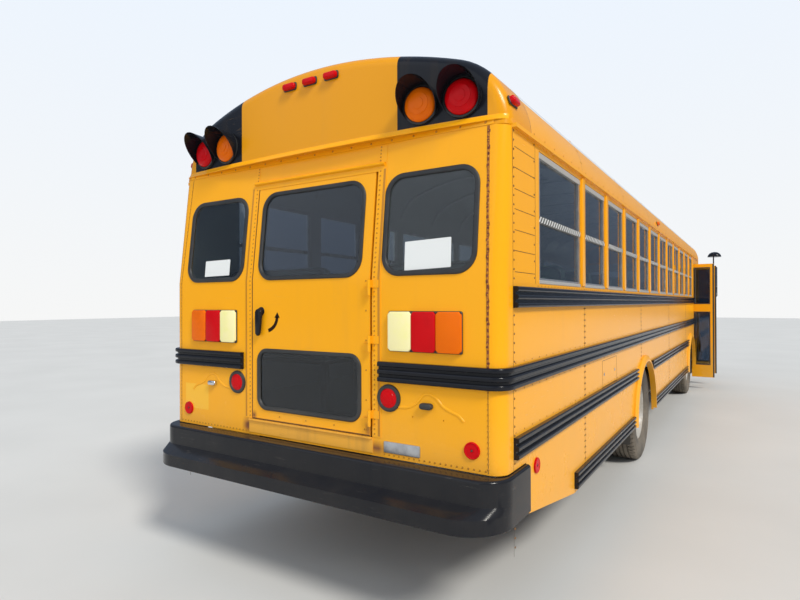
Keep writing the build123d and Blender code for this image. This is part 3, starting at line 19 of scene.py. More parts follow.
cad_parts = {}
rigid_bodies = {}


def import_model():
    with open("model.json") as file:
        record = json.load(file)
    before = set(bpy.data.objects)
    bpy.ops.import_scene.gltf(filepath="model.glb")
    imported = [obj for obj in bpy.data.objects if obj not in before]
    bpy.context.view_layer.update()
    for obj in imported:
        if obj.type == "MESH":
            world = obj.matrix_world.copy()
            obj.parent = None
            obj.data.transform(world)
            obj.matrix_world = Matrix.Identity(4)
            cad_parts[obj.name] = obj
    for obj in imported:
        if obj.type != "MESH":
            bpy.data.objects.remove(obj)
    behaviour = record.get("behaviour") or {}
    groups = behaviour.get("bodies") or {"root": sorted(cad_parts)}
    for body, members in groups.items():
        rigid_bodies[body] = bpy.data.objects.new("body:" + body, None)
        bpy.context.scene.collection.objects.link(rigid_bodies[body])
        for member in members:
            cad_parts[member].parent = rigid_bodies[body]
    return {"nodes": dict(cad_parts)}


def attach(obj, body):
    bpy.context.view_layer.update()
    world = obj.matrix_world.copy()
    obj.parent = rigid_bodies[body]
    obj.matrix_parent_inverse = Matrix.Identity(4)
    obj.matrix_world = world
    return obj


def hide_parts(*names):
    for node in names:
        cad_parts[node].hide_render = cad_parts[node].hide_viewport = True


LOG = logging.getLogger("school_bus")
Colour = tuple[float, float, float]
Point = tuple[float, float, float]
Pair = tuple[float, float]
Mesh = bmesh.types.BMesh
Vert = bmesh.types.BMVert
Piece = bpy.types.Object
Pieces = list[Piece]
Node = bpy.types.Node
NodeTree = bpy.types.NodeTree
Socket = bpy.types.NodeSocket
Material = bpy.types.Material
Source = Union[Socket, float, Colour]

# Outline of the body
REAR_FACE = -5.560
FRONT_FACE = 5.420
HALF = 1.219  # half of the width over the side walls
LEAN_START = 1.800  # above this height the rear wall leans forward
LEAN_SLOPE = 0.1127
WINDSHIELD_SILL = 1.330  # above this height the front wall leans back
FRONT_SLOPE = 0.105
GUTTER = 2.528  # foot of the roof's rounded shoulder
SHOULDER_RADIUS = 0.400
SHOULDER_X = HALF - SHOULDER_RADIUS
REAR_CORNER = 0.077
FRONT_CORNER = 0.130
ROOF_TOP = 3.060
SEAM_SLOPE = 0.026 / 0.700  # how fast the corner seams of the rear wall drift inwards
SEAM_TOP = 2.526  # top of the strips and seams on the rear wall
CAP_STAND = 0.043  # how far the rear cap's face is ahead of the rear face, at the middle
CAP_BOW = 0.039  # how much further ahead it is at one metre from the middle
WHITE_START = 2.740  # foot of the white on the roof
LINING_FOOT = 0.88  # foot of the pale lining in the cabin

SHARP_ANGLE = 32.0  # degrees above which the edges of a piece stay sharp
NODE_SHARP_ANGLE = 28.0  # the same for the CAD nodes
SWELL_PRESSURE = 4.0  # pressure of the cloth simulation that stuffs the pads
SWELL_FRAMES = 20


def station(distance: float) -> float:
    """Y of a place measured forward from the rear face."""
    return REAR_FACE + distance


def at(x: float, distance: float, z: float) -> Point:
    """A place by its distance forward from the rear face."""
    return (x, station(distance), z)


def rear_line(z: float) -> float:
    """Y of the outside of the rear wall at height z."""
    return REAR_FACE + max(0.0, z - LEAN_START) * LEAN_SLOPE


def seam_drift(z: float) -> float:
    """How far a corner seam of the rear wall has drifted inwards at height z."""
    return SEAM_SLOPE * max(0.0, z - LEAN_START)


def front_line(z: float) -> float:
    """Y of the outside of the front wall at height z."""
    return FRONT_FACE - max(0.0, z - WINDSHIELD_SILL) * FRONT_SLOPE


def roof_crown() -> Pair:
    """Radius of the roof's crown, and the x where it meets the shoulder."""
    rise = ROOF_TOP - GUTTER
    crown = (SHOULDER_X**2 + rise**2 - SHOULDER_RADIUS**2) / (2 * (rise - SHOULDER_RADIUS))
    angle = math.atan2(GUTTER - (ROOF_TOP - crown), SHOULDER_X)
    return crown, SHOULDER_X + SHOULDER_RADIUS * math.cos(angle)


def roof_line(x: float) -> float:
    """Z of the outside of the roof at distance x from the middle."""
    crown, join_x = roof_crown()
    if abs(x) > join_x:
        return GUTTER + math.sqrt(max(0.0, SHOULDER_RADIUS**2 - (abs(x) - SHOULDER_X) ** 2))
    return ROOF_TOP - crown + math.sqrt(crown**2 - x**2)


# Node trees


class Tree:
    """Short calls that add nodes and links to one node tree."""

    def __init__(self, tree: NodeTree) -> None:
        """Keeps the tree that the nodes go into."""
        self.tree = tree

    def add(self, kind: str, **values: object) -> Node:
        """Adds a node of a kind, given without its ShaderNode prefix, and sets its properties."""
        node = self.tree.nodes.new("ShaderNode" + kind)
        for key, value in values.items():
            setattr(node, key, value)
        return node

    def feed(self, socket: Socket, source: Source) -> None:
        """Links a source to a socket, or sets the socket's own value."""
        if isinstance(source, Socket):
            self.tree.links.new(source, socket)
        elif isinstance(source, tuple):
            socket.default_value = (*source, 1.0)[:len(socket.default_value)]
        else:
            socket.default_value = source

    def maths(self, operation: str, *sources: Source, clamp: bool = False) -> Socket:
        """Adds a Math node over the sources and returns its value."""
        node = self.add("Math", operation=operation, use_clamp=clamp)
        for socket, source in zip(node.inputs, sources):
            self.feed(socket, source)
        return node.outputs[0]

    def minus(self, first: Source, second: Source) -> Socket:
        """One value less another."""
        return self.maths("SUBTRACT", first, second)

    def times(self, first: Source, second: Source, clamp: bool = False) -> Socket:
        """Product of two values."""
        return self.maths("MULTIPLY", first, second, clamp=clamp)

    def parts(self, source: Source) -> Sequence[Socket]:
        """The three components of a vector."""
        node = self.add("SeparateXYZ")
        self.feed(node.inputs[0], source)
        return node.outputs

    def length(self, *components: Source) -> Socket:
        """Length of the vector that some components make."""
        joined, node = self.add("CombineXYZ"), self.add("VectorMath", operation="LENGTH")
        for socket, component in zip(joined.inputs, components):
            self.feed(socket, component)
        self.feed(node.inputs[0], joined.outputs[0])
        return node.outputs["Value"]

    def surface(self, shader: Node, **sources: Source) -> None:
        """Feeds inputs of a shader by name, with underscores for spaces."""
        for name, source in sources.items():
            self.feed(shader.inputs[name.replace("_", " ")], source)

    def vector(self, operation: str, *sources: Source) -> Socket:
        """Adds a Vector Math node over the sources and returns its vector."""
        node = self.add("VectorMath", operation=operation)
        for socket, source in zip(node.inputs, sources):
            self.feed(socket, source)
        return node.outputs[0]

    def mix(self, share: Source, first: Source, second: Source) -> Socket:
        """Mixes two colours by a share and returns the colour."""
        node = self.add("Mix", data_type="RGBA")
        self.feed(node.inputs[0], share)
        self.feed(node.inputs[6], first)
        self.feed(node.inputs[7], second)
        return node.outputs[2]

    def range(self, source: Source, low: float, high: float, to_low: float = 0.0, to_high: float = 1.0
              ) -> Socket:
        """Maps a value from one range to another, clamped."""
        node = self.add("MapRange", clamp=True)
        for socket, value in zip(node.inputs, (source, low, high, to_low, to_high)):
            self.feed(socket, value)
        return node.outputs[0]

    def place(self) -> Socket:
        """Object coordinates of the surface."""
        return self.add("TexCoord").outputs["Object"]

    def stretched(self, scale: Source) -> Socket:
        """Object coordinates multiplied by a vector."""
        return self.vector("MULTIPLY", self.place(), scale)

    def noise(self, where: Source, scale: Source, detail: float = 3.0, rough: float = 0.55
              ) -> Socket:
        """Adds a noise texture and returns its value."""
        node = self.add("TexNoise")
        self.feed(node.inputs["Vector"], where)
        self.feed(node.inputs["Scale"], scale)
        node.inputs["Detail"].default_value = detail
        node.inputs["Roughness"].default_value = rough
        return node.outputs[0]

    def group(self, effect: "Effect", **inputs: Source) -> Node:
        """Places a shared effect and feeds its inputs by name."""
        node = self.add("Group", node_tree=effect.tree())
        for name, value in inputs.items():
            self.feed(node.inputs[name.replace("_", " ").capitalize()], value)
        return node

    def bump(self, height: Source, distance: float, strength: float = 1.0) -> Socket:
        """Turns a height into a normal."""
        node = self.add("Bump")
        node.inputs["Strength"].default_value = strength
        node.inputs["Distance"].default_value = distance
        self.feed(node.inputs["Height"], height)
        return node.outputs[0]


class Effect(Enum):
    """Surface effects shared by the materials, each one node group."""

    BOX = "bus_painted_area"
    DUST = "bus_road_dust"
    SHEET = "bus_sheet_waviness"
    LINING = "bus_cabin_side"
    STREAKS = "bus_rain_streaks"
    SCRATCHES = "bus_scratches"
    GRAIN = "bus_fine_grain"

    def tree(self) -> NodeTree:
        """The effect's node group, built the first time that it is asked for."""
        made = bpy.data.node_groups.get(self.value)
        if made is None:
            made = bpy.data.node_groups.new(self.value, "ShaderNodeTree")
            BUILDERS[self](made)
        return made


def open_group(made: NodeTree, inputs: dict[str, object], outputs: Sequence[str]
               ) -> tuple[Tree, Node, Node]:
    """Gives a node group its sockets.

    Args:
        made: The empty group.
        inputs: Default value of each input, a number or a vector.
        outputs: Names of the outputs, all numbers.

    Returns:
        The tree helper, the input node and the output node.
    """
    for name, value in inputs.items():
        kind = "NodeSocketVector" if isinstance(value, tuple) else "NodeSocketFloat"
        made.interface.new_socket(name=name, in_out="INPUT", socket_type=kind).default_value = value
    for name in outputs:
        made.interface.new_socket(name=name, in_out="OUTPUT", socket_type="NodeSocketFloat")
    tree = Tree(made)
    return tree, made.nodes.new("NodeGroupInput"), made.nodes.new("NodeGroupOutput")


def build_box(made: NodeTree) -> None:
    """Mask that is 1 between two corners and fades over a soft edge."""
    tree, given, out = open_group(
        made, {"Low": (0.0, 0.0, 0.0), "High": (1.0, 1.0, 1.0), "Edge": 0.002}, ["Mask"]
    )
    where = tree.place()
    share: Source = 1.0
    for first, second in ((where, given.outputs["Low"]), (given.outputs["High"], where)):
        for socket in tree.parts(tree.vector("SUBTRACT", first, second)):
            inside = tree.maths("DIVIDE", socket, given.outputs["Edge"], clamp=True)
            share = tree.times(share, inside)
    tree.feed(out.inputs["Mask"], share)


def build_lining(made: NodeTree) -> None:
    """Mask that is 1 on the cabin side of the walls and the roof."""
    tree, given, out = open_group(made, {"Depth": 0.02, "Edge": 0.002}, ["Mask"])
    x, y, z = tree.parts(tree.place())
    reach = tree.maths("ABSOLUTE", x)

    def past(value: Source, start: Source) -> Socket:
        """How far a value is past a start, and 0 before it."""
        return tree.maths("MAXIMUM", tree.minus(value, start), 0.0)

    lean = tree.times(past(z, LEAN_START), LEAN_SLOPE)
    slope = tree.times(past(z, WINDSHIELD_SILL), FRONT_SLOPE)
    rear = tree.minus(tree.minus(y, REAR_FACE), lean)
    front = tree.minus(tree.minus(FRONT_FACE, y), slope)
    side = tree.minus(HALF, reach)
    crown, join_x = roof_crown()
    to_crown = tree.minus(crown, tree.length(reach, tree.minus(z, ROOF_TOP - crown)))
    to_shoulder = tree.minus(SHOULDER_RADIUS, tree.length(past(reach, SHOULDER_X), past(z, GUTTER)))
    gap = tree.maths("MAXIMUM", to_shoulder, tree.times(tree.minus(join_x, reach), 100.0))
    for other in (rear, front, side, to_crown):
        gap = tree.maths("MINIMUM", gap, other)
    for wall, radius in ((rear, REAR_CORNER), (front, FRONT_CORNER)):
        corner = tree.length(past(radius, side), past(radius, wall))
        gap = tree.maths("MINIMUM", gap, tree.minus(radius, corner))
    gap = tree.maths("MINIMUM", gap, tree.minus(z, LINING_FOOT))
    share = tree.maths("DIVIDE", tree.minus(gap, given.outputs["Depth"]), given.outputs["Edge"], clamp=True)
    tree.feed(out.inputs["Mask"], share)


def build_dust(made: NodeTree) -> None:
    """Dust that thickens towards the ground, broken up by noise."""
    tree, given, out = open_group(made, {"Top": 1.6, "Bottom": 0.4, "Scale": 2.0, "Amount": 0.5}, ["Mask"])
    where = tree.place()
    span = tree.minus(given.outputs["Top"], given.outputs["Bottom"])
    depth = tree.minus(given.outputs["Top"], tree.parts(where)[2])
    low = tree.maths("DIVIDE", depth, span, clamp=True)
    blotch = tree.noise(where, given.outputs["Scale"], 6.0, 0.62)
    share = tree.range(blotch, 0.30, 0.72)
    wet = tree.times(low, share)
    tree.feed(out.inputs["Mask"], tree.times(wet, given.outputs["Amount"], clamp=True))


def build_sheet(made: NodeTree) -> None:
    """Slow waviness of pressed sheet metal with a fine orange peel."""
    tree, given, out = open_group(made, {"Scale": 1.6, "Peel": 0.03}, ["Height"])
    where = tree.place()
    slow = tree.noise(where, given.outputs["Scale"], 1.0, 0.4)
    peel = tree.noise(where, 140.0, 1.0, 0.5)
    small = tree.times(peel, given.outputs["Peel"])
    tree.feed(out.inputs["Height"], tree.maths("ADD", slow, small))


def build_streaks(made: NodeTree) -> None:
    """Upright streaks left by rain running down."""
    tree, given, out = open_group(made, {"Scale": 9.0, "Amount": 0.5}, ["Mask"])
    lines = tree.noise(tree.stretched((1.0, 1.0, 0.07)), given.outputs["Scale"], 4.0, 0.6)
    breaks = tree.noise(tree.place(), 1.7, 2.0, 0.5)
    sharp = tree.range(lines, 0.50, 0.78)
    share = tree.times(sharp, tree.range(breaks, 0.42, 0.66))
    tree.feed(out.inputs["Mask"], tree.times(share, given.outputs["Amount"], clamp=True))


def build_scratches(made: NodeTree) -> None:
    """Short rubbed lines that run along the bus."""
    tree, given, out = open_group(made, {"Scale": 30.0, "Amount": 0.5}, ["Mask"])
    lines = tree.noise(tree.stretched((0.25, 0.25, 3.0)), given.outputs["Scale"], 5.0, 0.7)
    patches = tree.noise(tree.place(), 2.3, 3.0, 0.6)
    sharp = tree.range(lines, 0.60, 0.68)
    share = tree.times(sharp, tree.range(patches, 0.48, 0.62))
    tree.feed(out.inputs["Mask"], tree.times(share, given.outputs["Amount"], clamp=True))


def build_grain(made: NodeTree) -> None:
    """Pebbled grain of rubber, vinyl and moulded plastic."""
    tree, given, out = open_group(made, {"Scale": 400.0}, ["Height", "Mask"])
    cells = tree.add("TexVoronoi", feature="DISTANCE_TO_EDGE")
    tree.feed(cells.inputs["Vector"], tree.place())
    tree.feed(cells.inputs["Scale"], given.outputs["Scale"])
    tree.feed(out.inputs["Height"], tree.range(cells.outputs[0], 0.0, 0.35))
    cloud = tree.noise(tree.place(), 7.0, 5.0, 0.65)
    tree.feed(out.inputs["Mask"], tree.range(cloud, 0.36, 0.66))


BUILDERS: dict[Effect, Callable[[NodeTree], None]] = {
    Effect.BOX: build_box,
    Effect.DUST: build_dust,
    Effect.SHEET: build_sheet,
    Effect.LINING: build_lining,
    Effect.STREAKS: build_streaks,
    Effect.SCRATCHES: build_scratches,
    Effect.GRAIN: build_grain,
}


# Finishes


def open_material(name: str) -> tuple[Material, Tree, Node]:
    """Starts a material and returns it with its tree helper and its Principled BSDF."""
    made = bpy.data.materials.new(name)
    made.use_nodes = True
    made.node_tree.nodes.clear()
    tree = Tree(made.node_tree)
    shader = tree.add("BsdfPrincipled")
    out = tree.add("OutputMaterial")
    tree.feed(out.inputs["Surface"], shader.outputs[0])
    return made, tree, shader


@dataclass(frozen=True)
class PaintedArea:
    """A patch of another colour on a painted part, between two corners."""

    low: Point
    high: Point
    colour: Colour
    edge: float = 0.0015
    mirrored: bool = False


@dataclass(frozen=True)
class Paint:
    """Glossy enamel over sheet metal, with dust, streaks and rubbed lines."""

    name: str
    colour: Colour
    dusty: Colour = (0.60, 0.42, 0.20)
    worn: Colour = (0.45, 0.26, 0.08)
    roughness: float = 0.24
    coat: float = 0.04
    specular: float = 0.19
    wave: float = 0.004
    dust: float = 0.35
    dust_top: float = 1.3
    streaks: float = 0.10
    scratches: float = 0.15
    areas: tuple[PaintedArea, ...] = ()
    lining: Optional[Colour] = None

    def material(self) -> Material:
        """Builds the paint's material."""
        made, tree, shader = open_material(self.name)
        fade = tree.range(tree.noise(tree.place(), 0.8, 4.0, 0.6), 0.3, 0.7, 0.0, 0.10)
        pale = tuple(min(1.0, c * 1.04 + 0.012) for c in self.colour)
        colour = tree.mix(fade, self.colour, pale)
        for area in self.areas:
            for side in (1, -1) if area.mirrored else (1,):
                ends = sorted((area.low[0] * side, area.high[0] * side))
                low, high = (ends[0], *area.low[1:]), (ends[1], *area.high[1:])
                mask = tree.group(Effect.BOX, low=low, high=high, edge=area.edge)
                colour = tree.mix(mask.outputs[0], colour, area.colour)
        dust = tree.group(Effect.DUST, amount=self.dust, top=self.dust_top)
        colour = tree.mix(dust.outputs[0], colour, self.dusty)
        rubbed = tree.group(Effect.SCRATCHES, amount=self.scratches)
        colour = tree.mix(rubbed.outputs[0], colour, self.worn)
        rain = tree.group(Effect.STREAKS, amount=self.streaks)
        colour = tree.mix(rain.outputs[0], colour, self.worn)
        if self.lining:
            colour = tree.mix(tree.group(Effect.LINING).outputs[0], colour, self.lining)
        dull = tree.maths("MAXIMUM", dust.outputs[0], rubbed.outputs[0])
        tree.surface(
            shader,
            Base_Color=colour,
            Roughness=tree.range(dull, 0.0, 1.0, self.roughness, self.roughness + 0.4),
            Normal=tree.bump(tree.group(Effect.SHEET).outputs[0], self.wave),
            Coat_Weight=self.coat,
            Coat_Roughness=0.06,
            Specular_IOR_Level=self.specular,
        )
        return made


@dataclass(frozen=True)
class Metal:
    """Bare, plated or rusty metal."""

    name: str
    colour: Colour
    second: Colour
    roughness: float = 0.3
    spread: float = 0.2
    metallic: float = 1.0
    scale: float = 14.0
    bump: float = 0.0004
    dust: float = 0.2
    stretch: Point = (1.0, 1.0, 1.0)

    def material(self) -> Material:
        """Builds the metal's material."""
        made, tree, shader = open_material(self.name)
        cloud = tree.noise(tree.stretched(self.stretch), self.scale, 6.0, 0.62)
        mask = tree.range(cloud, 0.38, 0.64)
        colour = tree.mix(mask, self.colour, self.second)
        dust = tree.group(Effect.DUST, amount=self.dust, top=1.6)
        colour = tree.mix(dust.outputs[0], colour, (0.30, 0.25, 0.19))
        tree.surface(
            shader,
            Base_Color=colour,
            Roughness=tree.range(mask, 0.0, 1.0, self.roughness, self.roughness + self.spread),
            Metallic=self.metallic,
            Normal=tree.bump(cloud, self.bump),
        )
        return made


@dataclass(frozen=True)
class Ribs:
    """Painted rail pressed with slanting ribs along the bus, with painted shade in the grooves between the
    ribs.
    """

    name: str
    colour: Colour
    # Colour between the ribs: painted shade in the grooves; the grime streaks take it too.
    gap: Colour
    pitch: float

    def material(self) -> Material:
        """Builds the ribbed rail's material."""
        made, tree, shader = open_material(self.name)
        parts = tree.parts(tree.place())
        slant = tree.minus(parts[1], parts[2])
        wave = tree.maths("SINE", tree.times(slant, math.tau / self.pitch))
        rib = tree.range(wave, -0.35, 0.10)
        grime = tree.group(Effect.STREAKS, scale=30.0, amount=0.5)
        # Ribs take the rail's colour and the grooves between them the painted shade.
        colour = tree.mix(rib, self.gap, self.colour)
        tree.surface(
            shader, Base_Color=tree.mix(grime.outputs[0], colour, self.gap),
            Roughness=tree.range(rib, 0.0, 1.0, 0.7, 0.35), Normal=tree.bump(rib, 0.002),
        )
        return made


@dataclass(frozen=True)
class Rubber:
    """Rubber, vinyl or moulded plastic with a pebbled grain."""

    name: str
    colour: Colour
    second: Colour
    roughness: float = 0.6
    scale: float = 400.0
    bump: float = 0.0003
    dust: float = 0.3
    dust_top: float = 1.6
    dusty: Colour = (0.30, 0.25, 0.19)
    sheen: float = 0.0

    def material(self) -> Material:
        """Builds the rubber's material."""
        made, tree, shader = open_material(self.name)
        grain = tree.group(Effect.GRAIN, scale=self.scale)
        colour = tree.mix(grain.outputs["Mask"], self.colour, self.second)
        dust = tree.group(Effect.DUST, amount=self.dust, top=self.dust_top)
        colour = tree.mix(dust.outputs[0], colour, self.dusty)
        tree.surface(
            shader,
            Base_Color=colour,
            Roughness=tree.range(grain.outputs["Mask"], 0.0, 1.0, self.roughness, self.roughness + 0.12),
            Normal=tree.bump(grain.outputs["Height"], self.bump),
            Sheen_Weight=self.sheen,
        )
        return made


@dataclass(frozen=True)
class Glass:
    """Tinted safety glass with a film of dust."""

    name: str
    colour: Colour
    dust: float = 0.06
    roughness: float = 0.02

    def material(self) -> Material:
        """Builds the glass material."""
        made, tree, shader = open_material(self.name)
        cloud = tree.noise(tree.place(), 3.0, 6.0, 0.62)
        film = tree.range(cloud, 0.45, 0.75, 0.0, self.dust)
        tree.surface(
            shader,
            Base_Color=tree.mix(film, self.colour, (0.55, 0.55, 0.52)),
            Roughness=tree.range(cloud, 0.40, 0.80, self.roughness, self.roughness + self.dust),
            Transmission_Weight=1.0,
            IOR=1.5,
        )
        return made


@dataclass(frozen=True)
class Lens:
    """Moulded lamp lens with a prism pattern behind its smooth face."""

    name: str
    colour: Colour
    deep: Colour
    prism: float = 170.0
    roughness: float = 0.12

    def material(self) -> Material:
        """Builds the lens material."""
        made, tree, shader = open_material(self.name)
        parts = tree.parts(tree.place())
        waves = [tree.maths("SINE", tree.times(parts[k], self.prism * math.tau / 2)) for k in (0, 2)]
        prism = tree.range(tree.times(*waves), -1.0, 1.0)
        cloud = tree.range(tree.noise(tree.place(), 9.0, 3.0, 0.6), 0.35, 0.70, 0.0, 0.55)
        share = tree.times(prism, 0.45)
        colour = tree.mix(tree.maths("MAXIMUM", share, cloud), self.colour, self.deep)
        tree.surface(
            shader,
            Base_Color=colour,
            Roughness=tree.range(cloud, 0.0, 1.0, self.roughness, self.roughness + 0.2),
            Normal=tree.bump(prism, 0.0004),
            Specular_IOR_Level=0.12,
            Coat_Weight=0.02,
            Coat_Roughness=0.03,
        )
        return made


COAT_YELLOW: Colour = (0.93, 0.405, 0.007)
COAT_BLACK: Colour = (0.009, 0.010, 0.014)
COAT_WHITE: Colour = (0.80, 0.82, 0.83)
COAT_LINING: Colour = (0.50, 0.52, 0.50)
COAT_RUST: Colour = (0.20, 0.055, 0.018)
COAT_JOINT: Colour = (0.16, 0.085, 0.03)


class Finish(Enum):
    """Every finish on the bus."""

    YELLOW = Paint("yellow_enamel", COAT_YELLOW, lining=COAT_LINING)
    DOOR_YELLOW = Paint(
        "yellow_enamel_on_door",
        COAT_YELLOW,
        lining=COAT_LINING,
        streaks=0.14,
        areas=(
            PaintedArea((-0.46, -9.0, 0.93), (-0.40, 9.0, 1.00), COAT_RUST, 0.030),
            PaintedArea((0.42, -9.0, 0.93), (0.47, 9.0, 1.02), COAT_RUST, 0.030),
        ),
    )
    REAR_YELLOW = Paint(
        "yellow_enamel_on_rear_wall",
        COAT_YELLOW,
        lining=COAT_LINING,
        areas=(
            PaintedArea((-0.54, -9.0, 0.84), (-0.43, 9.0, 0.95), COAT_RUST, 0.045),
            PaintedArea((0.44, -9.0, 0.84), (0.56, 9.0, 0.93), COAT_RUST, 0.045),
            PaintedArea((-1.10, -9.0, 0.95), (-0.86, 9.0, 1.12), (0.95, 0.50, 0.03), 0.004),
        ),
    )
    CAP = Paint(
        "shade_darkened_yellow_and_black_enamel_on_rear_cap",
        # Darker than the yellow of the walls: painted shade on the rear cap.
        (0.76, 0.315, 0.005),
        dust=0.0,
        areas=(PaintedArea((0.600, -5.9, 2.581), (1.107, -5.36, 3.2), COAT_BLACK, 0.0015, True),),
    )
    FRONT_CAP = Paint(
        "yellow_and_black_enamel_on_front_cap",
        COAT_YELLOW,
        dust=0.0,
        areas=(PaintedArea((0.600, 5.15, 2.560), (1.107, 5.9, 3.2), COAT_BLACK, 0.0015, True),),
    )
    ROOF = Paint(
        "white_and_yellow_enamel_on_roof",
        COAT_WHITE,
        lining=COAT_LINING,
        dusty=(0.55, 0.52, 0.46),
        worn=(0.50, 0.46, 0.38),
        dust=0.1,
        dust_top=6.0,
        areas=(
            PaintedArea((-1.4, -9.0, 2.3), (1.4, 9.0, WHITE_START), COAT_YELLOW, 0.002),
            PaintedArea((-1.4, -9.0, 2.3), (1.4, -5.157, 3.2), COAT_YELLOW, 0.002),
            PaintedArea((-1.4, 5.00, 2.3), (1.4, 9.0, 3.2), COAT_YELLOW, 0.002),
            PaintedArea(at(-1.4, 0.402, 2.3), at(1.4, 0.4075, 3.2), COAT_JOINT, 0.001),
            *(
                PaintedArea((-1.4, y - 0.0025, 2.3), (1.4, y + 0.0025, 3.2), COAT_JOINT, 0.001)
                for y in map(station, (1.438, 2.877, 4.316, 5.756, 7.195, 8.634))
            ),
        ),
    )
    BLACK = Paint(
        "black_enamel", COAT_BLACK, dusty=(0.16, 0.14, 0.11), worn=(0.10, 0.09, 0.08), roughness=0.16,
        coat=0.06, dust=0.12, streaks=0.10, scratches=0.35,
    )
    WHITE = Paint("white_enamel", COAT_WHITE, dusty=(0.5, 0.46, 0.4), worn=(0.5, 0.46, 0.38))
    GREY = Paint(
        "grey_enamel", (0.30, 0.31, 0.32), dusty=(0.3, 0.27, 0.23), worn=(0.2, 0.18, 0.15), coat=0.1
    )
    RED = Paint("red_enamel", (0.55, 0.012, 0.010), worn=(0.3, 0.02, 0.02), coat=0.5)
    CHASSIS = Paint(
        "chassis_black", (0.018, 0.018, 0.019), dusty=(0.20, 0.16, 0.12), worn=(0.12, 0.06, 0.035),
        roughness=0.45, coat=0.0, dust=0.55, dust_top=1.2, streaks=0.25, scratches=0.5,
    )
    ALUMINIUM = Metal("anodised_aluminium", (0.58, 0.59, 0.60), (0.42, 0.42, 0.43), 0.32, 0.15, 0.9)
    CHROME = Metal("bright_plating", (0.82, 0.82, 0.83), (0.62, 0.62, 0.62), 0.08, 0.12, 1.0, 20.0)
    CAST = Metal("cast_iron", (0.06, 0.055, 0.05), (0.15, 0.075, 0.04), 0.6, 0.25, 0.4, 18.0, 0.002, 0.6)
    RIM = Metal("rim_enamel", (0.60, 0.60, 0.58), (0.42, 0.38, 0.32), 0.35, 0.25, 0.1, 10.0, 0.0003, 0.5)
    NUT = Metal("plated_nut", (0.42, 0.41, 0.39), (0.20, 0.12, 0.07), 0.35, 0.25, 0.9, 30.0, 0.0002, 0.5)
    EXHAUST = Metal("heat_stained_steel", (0.20, 0.13, 0.09), (0.09, 0.06, 0.05), 0.55, 0.2, 0.8, 12.0)
    SILL = Paint(
        "scuffed_sill", (0.88, 0.42, 0.04), dusty=(0.40, 0.28, 0.14), worn=(0.16, 0.10, 0.06),
        roughness=0.4, coat=0.1, dust=0.45, streaks=0.4, scratches=1.0,
    )
    # Browner and darker than the walls: partly dirt, partly painted shade that makes the rivets read as
    # shadowed dots; also used for the painted shade strips beside the door posts.
    RIVET = Paint("rivet_enamel_dirt_and_painted_shade", (0.52, 0.215, 0.014), dusty=(0.24, 0.14, 0.05), dust=0.5, coat=0.2)
    # Dark seam colour: dirt in the panel seams, and painted shadow where it lines the emergency door's gaps.
    SEAM = Rubber("seam_dirt_and_gap_shadow", (0.10, 0.045, 0.010), (0.055, 0.026, 0.010), 0.8, 300.0, 0.0)
    DECAL = Paint(
        "black_decal", (0.020, 0.008, 0.004), worn=(0.2, 0.12, 0.05), roughness=0.5, coat=0.0, specular=0.1
    )
    SEALANT = Metal("weathered_sealant", (0.24, 0.050, 0.016), (0.10, 0.022, 0.010), 0.7, 0.2, 0.0, 60.0)
    # Dark brown of the side column rivets: partly stain, partly painted shade.
    STAINED = Metal("stained_and_shaded_rivet", (0.28, 0.12, 0.02), (0.10, 0.04, 0.012), 0.7, 0.2, 0.0, 70.0)
    RUSTY = Metal("rusty_sealant_bed", (0.50, 0.19, 0.02), (0.22, 0.06, 0.012), 0.7, 0.2, 0.0, 70.0)
    RUBBER = Rubber("seal_rubber", (0.016, 0.017, 0.018), (0.030, 0.031, 0.032), 0.42, 260.0, 0.0002, 0.2)
    TYRE = Rubber("tyre_rubber", (0.016, 0.016, 0.017), (0.032, 0.030, 0.028), 0.62, 300.0, 0.0004, 0.9, 1.3)
    FLOOR = Rubber("floor_rubber", (0.024, 0.025, 0.027), (0.045, 0.043, 0.040), 0.5, 120.0, 0.0006, 0.3)
    VINYL = Rubber("seat_vinyl", (0.055, 0.028, 0.017), (0.085, 0.046, 0.030), 0.36, 330.0, 0.0003, 0.15)
    PIPING = Rubber("seat_piping", (0.022, 0.014, 0.010), (0.040, 0.026, 0.020), 0.45, 300.0, 0.0001, 0.1)
    SEAT_CLOTH = Rubber(
        "driver_seat_cloth", (0.030, 0.033, 0.040), (0.050, 0.053, 0.060), 0.8, 700.0, 0.0004, 0.1, sheen=0.3
    )
    PLASTIC = Rubber("moulded_plastic", (0.030, 0.031, 0.033), (0.045, 0.045, 0.046), 0.45, 500.0, 0.0002)
    GLASS = Glass("tinted_glass", (0.52, 0.56, 0.56))
    REAR_GLASS = Glass("dark_tinted_glass", (0.20, 0.25, 0.32))
    RED_LENS = Lens("red_lens", (0.66, 0.002, 0.006), (0.40, 0.001, 0.003))
    AMBER_LENS = Lens("amber_lens", (0.90, 0.17, 0.001), (0.62, 0.09, 0.001))
    CLEAR_LENS = Lens("clear_lens", (0.98, 0.88, 0.55), (0.90, 0.88, 0.22))
    SEALED_BEAM = Lens("sealed_beam_glass", (0.62, 0.65, 0.68), (0.34, 0.36, 0.38), 120.0, 0.06)
    GREY_LINING = Paint(
        "pale_lining", COAT_LINING, (0.4, 0.38, 0.34), (0.35, 0.33, 0.3), 0.35, 0.1, dust=0.0, scratches=0.05
    )
    SCREW = Metal("dark_screw", (0.10, 0.09, 0.08), (0.05, 0.04, 0.035), 0.4, 0.2, 0.7)
    CLOUDED = Paint("weathered_white_rail", (0.40, 0.39, 0.37), (0.4, 0.36, 0.3), (0.3, 0.27, 0.22), 0.4)
